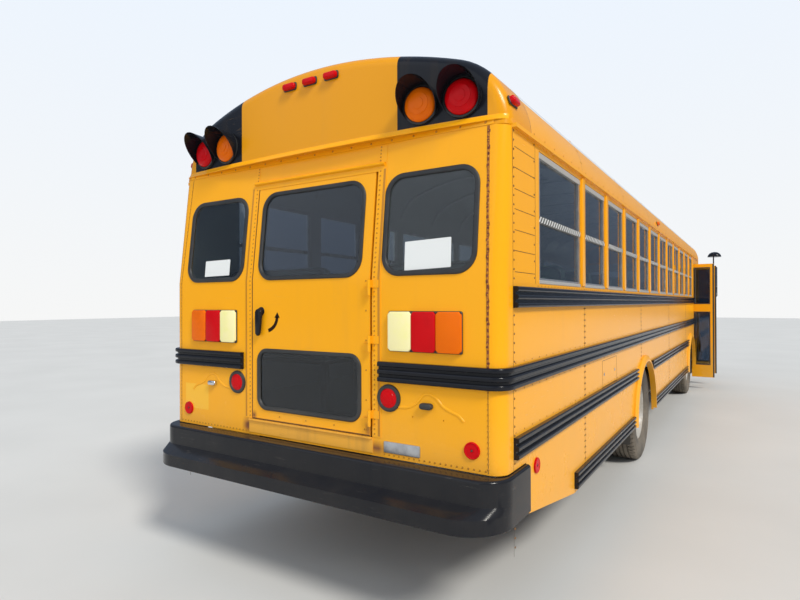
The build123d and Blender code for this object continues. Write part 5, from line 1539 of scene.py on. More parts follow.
@dataclass
class RearTrim:
    """Strips, sill, sealant, blank plate, arrow and blank stickers of the rear face."""

    posts: tuple[Pair, ...] = ((-0.501, -0.449), (0.474, 0.529))
    header: Pair = (-0.479, 0.516)
    seam_x: float = 1.142

    def build(self) -> Pieces:
        """Makes the trim and returns the new pieces."""
        strips, sill, sealant, bed, seams, gap, badge = new_meshes(7)
        for ends in self.posts:
            add_rear_strip(strips, ends, 0.943, 2.396, 0.003)
            add_rear_strip(strips, (ends[0] + 0.004, ends[1] - 0.004), 2.426, SEAM_TOP, 0.002)
        self.lip(strips, self.header, 2.426)
        add_rear_strip(strips, (-self.seam_x, self.seam_x), 2.530, 2.557, 0.003)
        add_rear_strip(sill, (-0.470, 0.476), 0.857, 0.938, 0.004)
        add_rear_strip(sill, (-0.465, 0.470), 0.932, 0.940, 0.014)
        self.dabs(sealant)
        self.seam(bed, 1, 0.013, 1.240, 0.0016)
        for side in (-1, 1):
            self.contour(strips, side)
            self.seam(seams, side, 0.003, 0.850, 0.0006)
        # Thin dark lines along the door's left edge and along its foot: painted shadow in the gaps round the
        # door.
        add_rear_strip(gap, (-0.4475, -0.4415), 0.945, 2.390, 0.0007)
        add_rear_strip(gap, (-0.441, 0.455), 0.944, 0.949, 0.0007)
        add_pad(badge, rear_frame(0.6585, 0.900), (0.222, 0.060), 0.004, 0.006, 2, 0.002, 2)
        pieces = finish_rows(
            (strips, "rear_riveted_strips", Finish.YELLOW),
            (sill, "emergency_door_sill", Finish.SILL),
            (sealant, "rear_seam_sealant", Finish.SEALANT),
            (bed, "rear_seam_sealant_bed", Finish.RUSTY),
            (seams, "rear_panel_seams", Finish.SEAM),
            (gap, "emergency_door_edge_line", Finish.SEAM, "emergency_door"),
            (badge, "blank_badge_plate", Finish.ALUMINIUM),
        )
        return [*pieces, self.arrow(), self.stickers()]

    def seam(self, shape: Mesh, side: int, width: float, low: float, proud: float) -> None:
        """Adds a strip along the corner seam, which drifts inwards where the wall leans."""
        line = bmesh.new()
        x = side * self.seam_x
        add_rear_strip(line, (x - width / 2, x + width / 2), low, SEAM_TOP, proud)
        for vert in line.verts:
            vert.co.x -= side * seam_drift(vert.co.z)
        stamp(shape, line, [Matrix()])

    def dabs(self, shape: Mesh) -> None:
        """Adds the uneven dabs of old sealant down the right seam."""
        draw = random.Random(7)
        z = 1.250
        while z < 2.515:
            size = (draw.uniform(0.009, 0.015), draw.uniform(0.010, 0.024))
            x = self.seam_x - seam_drift(z)
            spot = rear_frame(x + draw.uniform(-0.003, 0.003), z)
            add_pad(shape, spot, size, 0.0025, 0.003, 2, 0.001, 1)
            z += size[1] * 0.5 + draw.uniform(0.012, 0.026)

    def lip(self, shape: Mesh, ends: Pair, top: float) -> None:
        """Adds a flared drip lip with a band under it."""
        section = ((0.0, 0.001), (0.0, -0.014), (-0.008, -0.020), (-0.013, -0.017), (-0.018, -0.004),
                   (-0.046, -0.003), (-0.046, 0.001))
        outline = [(ends[0], rear_line(top + dz) + out, top + dz) for dz, out in section]
        push_outline(shape, outline, (ends[1] - ends[0], 0, 0))

    def contour(self, shape: Mesh, side: int) -> None:
        """Adds the pressed bead over the plate lamp."""
        knots = ((0.640, 1.117), (0.700, 1.122), (0.752, 1.150), (0.785, 1.188), (0.820, 1.199),
                 (0.862, 1.182), (0.900, 1.144), (0.945, 1.122), (0.985, 1.108), (1.015, 1.080))
        bead = bmesh.new()
        line = curve_through([(side * x, 0.0, z) for x, z in knots], 4)
        add_run(bead, [tuple(point) for point in line], 0.0075, 8)
        bmesh.ops.scale(bead, vec=(1, 0.45, 1), verts=bead.verts)
        stamp(shape, bead, [shift(0, REAR_FACE, 0)])

    def arrow(self) -> Piece:
        """Makes the bent arrow beside the door handle."""
        shape = bmesh.new()
        start, middle, end = Vector((-0.305, 1.493)), Vector((-0.237, 1.514)), Vector((-0.231, 1.577))
        steps = 10
        face_y = REAR_FACE - 0.0008
        rails: tuple[list[Vert], ...] = ([], [])
        for k in range(steps + 1):
            t = k / steps
            point = start * (1 - t) ** 2 + middle * 2 * t * (1 - t) + end * t * t
            along = (middle - start) * (1 - t) + (end - middle) * t
            across = Vector((-along.y, along.x)).normalized() * 0.011
            for rail, sign in zip(rails, (1, -1)):
                spot = point + across * sign
                rail.append(shape.verts.new((spot.x, face_y, spot.y)))
        sides = [shape.edges.new(pair) for rail in rails for pair in zip(rail, rail[1:])]
        bmesh.ops.bridge_loops(shape, edges=sides)
        tip = ((-0.254, 1.572), (-0.209, 1.572), (-0.229, 1.606))
        bmesh.ops.contextual_create(shape, geom=[shape.verts.new((x, face_y, z)) for x, z in tip])
        return finish_piece(shape, "handle_arrow", Finish.DECAL, "emergency_door")

    def stickers(self) -> Piece:
        """Makes the blank white stickers inside the rear windows."""
        shape = bmesh.new()
        for x, z, size, turn in ((0.806, 1.908, (0.270, 0.152), 2.0), (-0.789, 1.893, (0.240, 0.105), 1.0)):
            spot = rear_frame(x, z, -0.004) @ about_z(math.radians(turn))
            add_pad(shape, spot, size, 0.001, 0.003, 2)
        return finish_piece(shape, "blank_window_stickers", Finish.STICKER)


@dataclass
class Rivets:
    """Rivets, panel seams, slits and access doors of the body."""

    side_columns: tuple[tuple[float, float, float, float], ...] = (
        (0.142, 0.470, 2.500, 0.045), (0.441, 1.790, 2.500, 0.090),
    )
    rear_columns: tuple[tuple[float, float, float, float, float], ...] = (
        (-1.142, 0.870, 2.500, 0.026, 0.001), (1.142, 0.870, 2.500, 0.026, 0.001),
        (-0.462, 0.960, 2.380, 0.026, 0.003), (0.489, 0.960, 2.380, 0.026, 0.003),
        (-0.462, 2.440, 2.515, 0.018, 0.002), (0.484, 2.440, 2.515, 0.018, 0.002),
    )
    seam_stations: tuple[float, ...] = (1.474, 3.732, 5.945, 8.152)
    arch_seam: float = 3.732
    seam_top: float = 1.750
    slit_levels: tuple[float, ...] = (1.811, 1.915, 2.017, 2.120, 2.219, 2.323, 2.425)
    roof_pitch: float = 0.7196
    roof_first: float = 1.438

    def build(self) -> Pieces:
        """Makes the rivets and seams and returns the new pieces."""
        rear, sides, roof, door, columns = new_meshes(5)
        add_rivets(columns, self.column_rows())
        add_rivets(rear, self.rear_rows())
        # Brownish strips beside the door posts, in the rivets' finish: painted shade along the posts'
        # grooves.
        for ends in ((-0.501, -0.489), (0.510, 0.524)):
            add_rear_strip(rear, ends, 0.950, 2.390, 0.0036)
        add_rivets(sides, self.side_rows())
        add_rivets(roof, self.roof_rows())
        add_rivets(door, self.door_rows())
        return finish_rows(
            (rear, "rear_rivets", Finish.RIVET),
            (sides, "side_rivets", Finish.RIVET),
            (columns, "side_column_rivets", Finish.STAINED),
            (roof, "roof_rivets", Finish.RIVET),
            (door, "emergency_door_rivets", Finish.RIVET, "emergency_door"),
            (self.seams(), "side_panel_seams", Finish.SEAM),
            (self.latches(), "access_door_latches", Finish.ALUMINIUM),
        )

    def rear_column(self, x: float, low: float, high: float, pitch: float, out: float) -> list[RivetRow]:
        """Rivets up the rear wall, in its upright and its leaning part."""
        rows = []
        drift = math.copysign(seam_drift(2.5), x) if abs(x) > 1.0 else 0.0
        if low < LEAN_START:
            top = min(high, LEAN_START)
            rows.append(RivetRow((x, REAR_FACE - out, low), (x, REAR_FACE - out, top), pitch, (0, -1, 0)))
        if high > LEAN_START:
            base = max(low, LEAN_START + pitch)
            rows.append(row_between(rear_frame(x, base, out), rear_frame(x - drift, high, out), pitch))
        return rows

    def rear_rows(self) -> list[RivetRow]:
        """Rows of the rear wall."""
        rows = []
        for column in self.rear_columns:
            rows += self.rear_column(*column)
        for z, out, reach in ((2.417, 0.004, 0.47), (2.543, 0.003, 1.10)):
            ends = (rear_frame(-reach, z, out), rear_frame(reach, z, out))
            rows.append(row_between(*ends, 0.135, 0.007, 0.004))
        for ends in ((-1.130, -0.500), (0.550, 1.130)):
            rows.append(RivetRow((ends[0], REAR_FACE, 0.860), (ends[1], REAR_FACE, 0.860), 0.030, (0, -1, 0)))
        return rows

    def door_rows(self) -> list[RivetRow]:
        """Rivets up the hinge edge and along the foot of the emergency door."""
        return [
            RivetRow(at(0.432, 0, 0.975), at(0.432, 0, 1.78), 0.160, (0, -1, 0)),
            RivetRow(at(-0.425, 0, 0.975), at(0.420, 0, 0.975), 0.211, (0, -1, 0)),
        ]

    def seam_foot(self, distance: float, low: float) -> float:
        """Foot of a side seam: low, or above the rear wheel arch."""
        return 0.990 if distance == self.arch_seam else low

    def column_rows(self) -> list[RivetRow]:
        """Upright rows of both side walls."""
        rows = []
        seams = [
            (distance + gap, self.seam_foot(distance, 0.470), 1.735, 0.040)
            for distance in self.seam_stations
            for gap in (-0.012, 0.012)
        ]
        for side in (-1, 1):
            for distance, low, high, pitch in (*self.side_columns, *seams):
                foot, head = at(side * HALF, distance, low), at(side * HALF, distance, high)
                rows.append(RivetRow(foot, head, pitch, (side, 0, 0), 0.0065, 0.003))
        return rows

    def side_rows(self) -> list[RivetRow]:
        """Level rows of both side walls."""
        rows = []
        for side in (-1, 1):
            levels = [(0.500, 9.60 if side > 0 else 10.35, 1.748, 0.060)]
            levels += [(0.160, 9.58, z, 0.120) for z in (1.365, 1.228, 1.022)]
            for start, end, z, pitch in levels:
                ends = [at(side * HALF, distance, z) for distance in (start, end)]
                rows.append(RivetRow(*ends, pitch, (side, 0, 0)))
        return rows

    def roof_rows(self) -> list[RivetRow]:
        """Rows round the roof at every second window post and along the gutter."""
        rows = []
        for side in (-1, 1):
            for k in range(0, 12, 2):
                y = station(self.roof_first + k * self.roof_pitch)
                for dy in (-0.013, 0.013):
                    rows += self.roof_column(side, y + dy, 12)
            spot = shoulder_frame(side, 0.0, 2.560)
            x, _, z = spot.translation
            rows.append(RivetRow(at(x, 0.45, z), at(x, 10.5, z), 0.180, tuple(spot.col[2].xyz)))
        return rows

    def roof_column(self, side: int, y: float, pieces: int) -> list[RivetRow]:
        """Rivets up the shoulder and over the crown."""
        rows = []
        reach = [SHOULDER_X + SHOULDER_RADIUS * math.cos(a * 0.22) for a in range(1, 5)]
        for x in reach + [0.75 * (1 - k / pieces) for k in range(pieces)]:
            z = roof_line(x)
            slope = (roof_line(x - 0.001) - roof_line(x + 0.001)) / 0.002
            normal = Vector((side * slope, 0, 1)).normalized()
            rows.append(RivetRow((side * x, y, z), (side * x, y + 1e-4, z), 1.0, tuple(normal)))
        return rows

    def seams(self) -> Mesh:
        """Thin dark lines where side panels meet, and the slits behind the last window."""
        shape = bmesh.new()
        for side in (-1, 1):
            for distance in self.seam_stations:
                low = self.seam_foot(distance, 0.432)
                spot = side_frame(side, distance, (low + self.seam_top) / 2)
                add_pad(shape, spot, (0.002, self.seam_top - low), 0.0006)
            add_pad(shape, side_frame(side, 0.128, 1.470), (0.0025, 2.08), 0.0006)
            add_pad(shape, side_frame(side, 0.457, 2.130), (0.0025, 0.74), 0.0006)
            for z in self.slit_levels:
                add_pad(shape, side_frame(side, 0.302, z), (0.296, 0.0026), 0.0008)
            self.access_door(shape, side)
        return shape

    def latches(self) -> Mesh:
        """Two slotted latches of each access door."""
        shape = bmesh.new()
        for side in (-1, 1):
            for distance in (2.055, 2.440):
                spot = side_frame(side, distance, 1.100)
                add_turned(shape, spot, ((0.0, 0.003), (0.010, 0.003), (0.014, 0.0)), 20)
                add_pad(shape, spot @ shift(0, 0, 0.0028), (0.016, 0.003), 0.001)
        return shape

    def access_door(self, shape: Mesh, side: int) -> None:
        """Outline of the flush access door between the lower rails."""
        for distance in (2.001, 2.520):
            add_pad(shape, side_frame(side, distance, 1.106), (0.003, 0.205), 0.0008)
        for z in (1.004, 1.208):
            add_pad(shape, side_frame(side, 2.2605, z), (0.519, 0.003), 0.0008)


@dataclass(frozen=True)
class WheelSet:
    """The wheels on one body: its name, the CAD nodes and where the wheels are."""

    body: str
    tyre_node: str
    rim_node: str
    side: int
    distance: float
    centres: tuple[float, ...]
    disc_out: float
    hub_out: float


WHEELS = tuple(
    wheel
    for side, word in ((-1, "left"), (1, "right"))
    for wheel in (
        WheelSet(f"wheel_front_{word}", f"tyre_front_{word}", f"rim_front_{word}", side, 8.960,
                 (1.040,), 0.062, 0.124),
        WheelSet(f"wheels_rear_{word}", f"tyres_rear_{word}", f"rims_rear_{word}", side, 3.930,
                 (1.052, 0.722), -0.052, 0.038),
    )
)
HUB_Z = 0.510


@dataclass
class Tyres:
    """Road tyres with ribs, shoulder cuts and rings on their sidewalls."""

    half_section: tuple[Pair, ...] = (
        (0.2863, 0.0977), (0.3000, 0.0977), (0.3035, 0.1100), (0.3120, 0.1190), (0.3210, 0.1245),
        (0.3240, 0.1230), (0.3330, 0.1285), (0.3520, 0.1335), (0.3750, 0.1375), (0.4000, 0.1395),
        (0.4200, 0.1400), (0.4400, 0.1390), (0.4530, 0.1372), (0.4545, 0.1390), (0.4640, 0.1378),
        (0.4660, 0.1352), (0.4800, 0.1318), (0.4920, 0.1262), (0.5010, 0.1190), (0.5065, 0.1110),
        (0.5090, 0.1000), (0.5095, 0.0700), (0.4960, 0.0675), (0.4960, 0.0580), (0.5100, 0.0555),
        (0.5100, 0.0270), (0.4960, 0.0245), (0.4960, 0.0150), (0.5100, 0.0125),
    )
    steps: int = 240
    cut_depth: float = 0.010

    def build(self) -> Pieces:
        """Makes the tyres of every wheel body and returns the new pieces."""
        pieces = []
        for wheel in WHEELS:
            shape = bmesh.new()
            places = [facing_side(1, at(wheel.side * x, wheel.distance, HUB_Z)) for x in wheel.centres]
            stamp(shape, self.form(), places)
            name = wheel.tyre_node + "_with_tread"
            node = [wheel.tyre_node]
            pieces.append(finish_piece(shape, name, Finish.TYRE, wheel.body, node, "tyre", 40.0))
        return pieces

    def form(self) -> Mesh:
        """One tyre about the z axis, with its shoulder cuts."""
        shape = bmesh.new()
        half = list(self.half_section)
        section = half + [(r, -x) for r, x in reversed(half)] + half[:1]
        add_turned(shape, Matrix(), section, self.steps)
        bmesh.ops.remove_doubles(shape, verts=shape.verts, dist=1e-6)
        cuts = []
        for face in shape.faces:
            middle = face.calc_center_median()
            turn = math.atan2(middle.y, middle.x) / math.tau * self.steps
            shoulder = 0.072 < abs(middle.z) < 0.124 and middle.xy.length > 0.495
            if shoulder and math.floor(turn) % 4 == (0 if middle.z > 0 else 2):
                cuts.append(face)
        sunk = bmesh.ops.extrude_face_region(shape, geom=cuts)
        for vert in (g for g in sunk["geom"] if isinstance(g, Vert)):
            vert.co.xy *= 1 - self.cut_depth / vert.co.xy.length
        bmesh.ops.delete(shape, geom=[f for f in cuts if f.is_valid], context="FACES")
        return shape


@dataclass
class WheelNuts:
    """Nuts and hub covers on the rims."""

    nut_circle: float = 0.1325
    nut_count: int = 10
    cover_circle: float = 0.082
    cover_count: int = 8

    def build(self) -> Pieces:
        """Makes the nuts and covers of every wheel body and returns the new pieces."""
        pieces = []
        for wheel in WHEELS:
            nuts, covers = bmesh.new(), bmesh.new()
            axle = facing_side(wheel.side, at(wheel.side * wheel.centres[0], wheel.distance, HUB_Z))
            self.ring(nuts, axle, wheel.disc_out, self.nut_circle, self.nut_count, 0.0165, 0.024)
            self.ring(covers, axle, wheel.hub_out + 0.003, self.cover_circle, self.cover_count, 0.009, 0.008)
            face = axle @ shift(0, 0, wheel.hub_out)
            cap = ((0.0, 0.016), (0.030, 0.015), (0.040, 0.012), (0.044, 0.004), (0.064, 0.0035),
                   (0.102, 0.003), (0.106, 0.0))
            add_turned(covers, face, cap, 36)
            flange = ((0.108, -0.010), (0.1195, -0.012), (0.1195, -0.050), (0.108, -0.052))
            add_turned(covers, face, flange, 36)
            name = wheel.rim_node
            pieces.append(finish_piece(nuts, name + "_nuts", Finish.NUT, wheel.body, angle=25.0))
            pieces.append(finish_piece(covers, name + "_hub_cover", Finish.CAST, wheel.body))
        return pieces

    def ring(
        self, shape: Mesh, axle: Matrix, out: float, circle: float, count: int, radius: float,
        height: float,
    ) -> None:
        """Adds a ring of chamfered hexagon nuts at one distance along the axle."""
        nut = bmesh.new()
        section = ((0.0, height), (radius * 0.45, height), (radius * 0.50, height * 0.85),
                   (radius * 0.80, height * 0.85), (radius, height * 0.68), (radius, 0.0))
        add_turned(nut, Matrix(), section, 6)
        turns = [about_z(math.tau * (k + 0.5) / count) for k in range(count)]
        stamp(shape, nut, [axle @ turn @ shift(circle, 0, out) for turn in turns])


@dataclass(frozen=True)
class Pad:
    """One stuffed pad: its corners, the cuts of its mesh and how far it swells."""

    low: Point
    high: Point
    cuts: tuple[int, int, int]
    swell: float = 0.022
    soft: float = 0.050
    channels: tuple[float, ...] = ()
    across: int = 0

    def form(self, name: str) -> Mesh:
        """The pad's closed mesh: rounded, drawn in between its corners, then stuffed.

        Args:
            name: Name for the working object of the simulation.

        Returns:
            The mesh, at the pad's place.
        """
        shape = bmesh.new()
        size = Vector(self.high) - Vector(self.low)
        middle = (Vector(self.high) + Vector(self.low)) / 2
        bmesh.ops.create_cube(shape, size=1.0)
        for axis, cuts in enumerate(self.cuts):
            edges = [e for e in shape.edges if abs((e.verts[0].co - e.verts[1].co)[axis]) > 0.5]
            bmesh.ops.subdivide_edges(shape, edges=edges, cuts=cuts, use_grid_fill=True)
        inner = [max(0.0, half / 2 - self.soft) for half in size]
        seam = []
        for vert in shape.verts:
            spot = Vector([c * full for c, full in zip(vert.co, size)])
            core = Vector([max(-i, min(i, c)) for c, i in zip(spot, inner)])
            if sum(abs(abs(c) - 0.5) < 1e-4 for c in vert.co) >= 2:
                seam.append(vert.index)
            reach = spot - core
            if reach.length > 1e-6:
                limit = min(self.soft, min(size) / 2)
                spot = core + reach.normalized() * min(reach.length, limit * 1.06)
            draw = [1 - 0.012 * (1 - (2 * c) ** 2) if abs(c) < 0.5 else 1.0 for c in vert.co]
            vert.co = Vector([spot.x * draw[1], spot.y * draw[0], spot.z * draw[0]])
        stuff(shape, name, seam, self.swell)
        for place in self.channels:
            self.sew(shape, place, size)
        limits = [half / 2 for half in size]
        for vert in shape.verts:
            vert.co = Vector([max(-m, min(m, c)) for c, m in zip(vert.co, limits)])
        bmesh.ops.translate(shape, vec=middle, verts=shape.verts)
        return shape

    def crown(self, shape: Mesh, size: Vector) -> None:
        thin = min(range(3), key=lambda k: size[k])
        wide = [k for k in range(3) if k != thin]
        for vert in shape.verts:
            share = 1.0
            for k in wide:
                share *= 1 - min(1.0, abs(2 * vert.co[k] / size[k])) ** 4
            vert.co[thin] += math.copysign(self.swell * share * 0.5, vert.co[thin])

    def sew(self, shape: Mesh, place: float, size: Vector) -> None:
        """Sinks a sewn channel across the pad at a share of its length."""
        thin = min(range(3), key=lambda k: size[k])
        for vert in shape.verts:
            gap = abs(vert.co[self.across] / size[self.across] + 0.5 - place) * size[self.across]
            if gap < 0.020:
                vert.co[thin] *= 1 - 0.16 * (1 - gap / 0.020)


def stuff(shape: Mesh, name: str, seam: Sequence[int], cap: float) -> None:
    """Swells a pad with a cloth simulation, holding its seams.

    Args:
        shape: The pad's mesh, which is changed.
        name: Name for the working object.
        seam: Indices of the vertices on its sewn edges.
        cap: The furthest that a vertex may move.
    """
    before = [vert.co.copy() for vert in shape.verts]
    mesh = bpy.data.meshes.new(name)
    shape.to_mesh(mesh)
    work = put(name, mesh)
    group = work.vertex_groups.new(name="sewn")
    group.add(list(seam), 1.0, "REPLACE")
    cloth = work.modifiers.new("cloth", "CLOTH")
    cloth.settings.vertex_group_mass = "sewn"
    cloth.settings.use_pressure = True
    cloth.settings.uniform_pressure_force = SWELL_PRESSURE
    cloth.settings.effector_weights.gravity = 0.0
    cloth.settings.quality = 5
    cloth.point_cache.frame_start = 1
    cloth.point_cache.frame_end = SWELL_FRAMES
    scene = bpy.context.scene
    for frame in range(1, SWELL_FRAMES + 1):
        scene.frame_set(frame)
    shown = work.evaluated_get(bpy.context.evaluated_depsgraph_get()).to_mesh()
    after = [vert.co.copy() for vert in shown.vertices]
    shape.verts.ensure_lookup_table()
    for vert, old, new in zip(shape.verts, before, after):
        move = new - old
        vert.co = old + (move.normalized() * min(move.length, cap) if move.length > 1e-9 else move)
    bpy.data.objects.remove(work)
    bpy.data.meshes.remove(mesh)
    scene.frame_set(1)


def rounded_ring(size: Pair, corner: float, radius: float, steps: int) -> list[Pair]:
    """Points round a rounded rectangle; the radius may be more than the inset of its corners."""
    ring = []
    for k in range(steps):
        angle = math.tau * (k + 0.5) / steps
        u = math.copysign(size[0] / 2 - corner, math.cos(angle)) + radius * math.cos(angle)
        v = math.copysign(size[1] / 2 - corner, math.sin(angle)) + radius * math.sin(angle)
        ring.append((u, v))
    return ring


def piping(shape: Mesh, centre: Point, size: Pair, corner: float, radius: float,
           plane: str) -> None:
    """Adds a closed cord round a rounded rectangle, upright across the bus or lying level.

    Args:
        shape: The mesh it goes into.
        centre: Middle of the rectangle.
        size: Its two sides.
        corner: Radius of its corners.
        radius: The cord's radius.
        plane: "upright" or "level".
    """
    points = [
        tuple(Vector(centre) + Vector((u, 0.0, v) if plane == "upright" else (u, v, 0.0)))
        for u, v in rounded_ring(size, corner, corner, 24)
    ]
    add_run(shape, points + points[:1], radius, 6)


def round_cover(piece: Piece) -> Piece:
    """Rounds a padded piece's mesh once more; returns the piece."""
    rounder = piece.modifiers.new("rounder", "SUBSURF")
    rounder.levels = rounder.render_levels = 1
    return piece


@dataclass
class Benches:
    """Padded passenger benches."""

    rows: int = 12
    pitch: float = 0.711
    first: float = 0.420

    def build(self) -> Pieces:
        """Makes the benches and returns the new pieces."""
        back = Pad((0.215, 0.0, 1.270), (1.165, 0.105, 1.905), (17, 3, 12), 0.016, 0.052)
        cushion = Pad((0.215, 0.107, 1.2705), (1.165, 0.505, 1.380), (17, 8, 3), 0.016, 0.045)
        places = [
            shift(side, station(self.first + k * self.pitch), 0)
            for side in (0.0, -1.380)
            for k in range(self.rows)
        ]
        pieces = []
        for pad, name, stands_for in ((back, "bench_backs", ["seats"]), (cushion, "bench_cushions", [])):
            shape = bmesh.new()
            stamp(shape, pad.form(name + "_form"), places)
            piece = finish_piece(shape, name, Finish.VINYL, "root", stands_for, "seat_vinyl", 60.0)
            pieces.append(round_cover(piece))
        cord = bmesh.new()
        for y in (0.012, 0.093):
            piping(cord, (0.690, y, 1.5875), (0.915, 0.600), 0.060, 0.0045, "upright")
        piping(cord, (0.690, 0.306, 1.366), (0.915, 0.365), 0.045, 0.0045, "level")
        cords = bmesh.new()
        stamp(cords, cord, places)
        pieces.append(finish_piece(cords, "bench_piping", Finish.PIPING))
        return pieces


@dataclass
class DriverSeat:
    """Padded driver's seat with sewn channels, side bolsters and a belt."""

    middle: float = -0.800
    pads: tuple = (
        ("driver_cushion", (-0.185, 10.000, 1.332), (0.185, 10.460, 1.448), (10, 12, 3), 0.014, 0.045,
         (0.33, 0.66), 1),
        ("driver_bolster_right", (0.165, 10.000, 1.332), (0.240, 10.455, 1.450), (3, 12, 3), 0.012, 0.036),
        ("driver_bolster_left", (-0.240, 10.000, 1.332), (-0.165, 10.455, 1.450), (3, 12, 3), 0.012, 0.036),
        ("driver_back", (-0.185, 9.882, 1.400), (0.185, 9.985, 1.880), (10, 3, 14), 0.014, 0.045,
         (0.28, 0.52, 0.76), 2),
        ("driver_back_right", (0.165, 9.884, 1.420), (0.235, 9.990, 1.800), (3, 3, 12), 0.012, 0.034),
        ("driver_back_left", (-0.235, 9.884, 1.420), (-0.165, 9.990, 1.800), (3, 3, 12), 0.012, 0.034),
        ("driver_headrest", (-0.140, 9.886, 1.900), (0.140, 9.980, 2.078), (8, 3, 6), 0.014, 0.042),
    )

    def build(self) -> Pieces:
        """Makes the seat and returns the new pieces."""
        x = self.middle
        pieces = []
        for name, low, high, cuts, swell, soft, *sewn in self.pads:
            ends = [at(x + dx, distance, z) for dx, distance, z in (low, high)]
            shape = Pad(*ends, cuts, swell, soft, *sewn).form(name + "_form")
            stands_for = [] if pieces else ["driver_seat"]
            piece = finish_piece(shape, name, Finish.SEAT_CLOTH, "root", stands_for, "seat_vinyl", 60.0)
            pieces.append(round_cover(piece))
        frame = bmesh.new()
        for dx in (-0.07, 0.07):
            add_run(frame, [at(x + dx, 9.935, 1.86), at(x + dx, 9.935, 1.92)], 0.007)
        add_block(frame, at(x - 0.20, 9.875, 1.331), at(x + 0.20, 9.884, 1.86), 0.006)
        for side in (-1, 1):
            add_block(frame, at(x + side * 0.243 - 0.003, 9.93, 1.34),
                      at(x + side * 0.243 + 0.003, 10.08, 1.42), 0.002)
        pieces.append(finish_piece(frame, "driver_seat_frame", Finish.PLASTIC))
        belt = bmesh.new()
        add_block(belt, at(x - 0.266, 9.900, 1.35), at(x - 0.264, 9.945, 2.06), 0.0008, 1)
        add_block(belt, at(x + 0.250, 10.01, 1.36), at(x + 0.262, 10.04, 1.47), 0.004)
        pieces.append(finish_piece(belt, "driver_belt", Finish.PIPING))
        return pieces


@dataclass
class WindowTrim:
    """Ribbed middle rails, post covers and roof bows of the side windows."""

    first_post: float = 1.438
    pitch: float = 0.7196
    posts: int = 12
    rail_z: float = 2.116

    def spans(self, side: int) -> list[Pair]:
        """Stations between which each window of a side stands."""
        between = [
            (self.first_post + k * self.pitch + 0.055, self.first_post + (k + 1) * self.pitch - 0.055)
            for k in range(self.posts - 1)
        ]
        return [(0.523, 1.383), *between] + ([(9.640, 10.380)] if side < 0 else [])

    def build(self) -> Pieces:
        """Makes the trim and returns the new pieces."""
        rails, covers, heads, catches, bows = new_meshes(5)
        for side in (-1, 1):
            for start, end in self.spans(side):
                middle, length = (start + end) / 2, end - start
                for shape, z, height, depth, rim in (
                    (rails, self.rail_z, 0.034, 0.005, 0.002), (heads, 2.468, 0.034, 0.004, 0.002),
                    (heads, 1.772, 0.022, 0.006, 0.003),
                ):
                    spot = side_frame(side, middle, z, -0.007)
                    add_pad(shape, spot, (length - 0.004, height), depth, rim=rim, rounds=1)
                for end_y in (station(start + 0.10), station(end - 0.10)):
                    add_block(catches, (side * 1.170 - 0.012, end_y - 0.024, self.rail_z - 0.016),
                              (side * 1.170 + 0.012, end_y + 0.024, self.rail_z + 0.010), 0.004, 2)
            for k in range(self.posts):
                spot = side_frame(side, self.first_post + k * self.pitch, 2.137)
                add_pad(covers, spot, (0.078, 0.735), 0.009, 0.004, 2, 0.005, 2)
        for k in range(self.posts):
            self.bow(bows, station(self.first_post + k * self.pitch))
        return finish_rows(
            (rails, "window_middle_rails", Finish.RIBBED), (heads, "window_head_rails", Finish.CLOUDED),
            (covers, "window_post_covers", Finish.YELLOW), (catches, "window_catches", Finish.PLASTIC),
            (bows, "roof_bows", Finish.GREY_LINING),
        )

    def bow(self, shape: Mesh, y: float) -> None:
        """Adds a pressed bow that follows the ceiling at y."""
        reach = [k / 20 * 1.158 for k in range(-20, 21)]
        line = [(x, min(roof_line(x * 1.031) - 0.044, 2.98)) for x in reach]
        outer = [(x, y - 0.022, z) for x, z in line]
        inner = [(x * 0.992, y - 0.022, z - 0.014) for x, z in reversed(line)]
        push_outline(shape, outer + inner, (0, 0.044, 0))


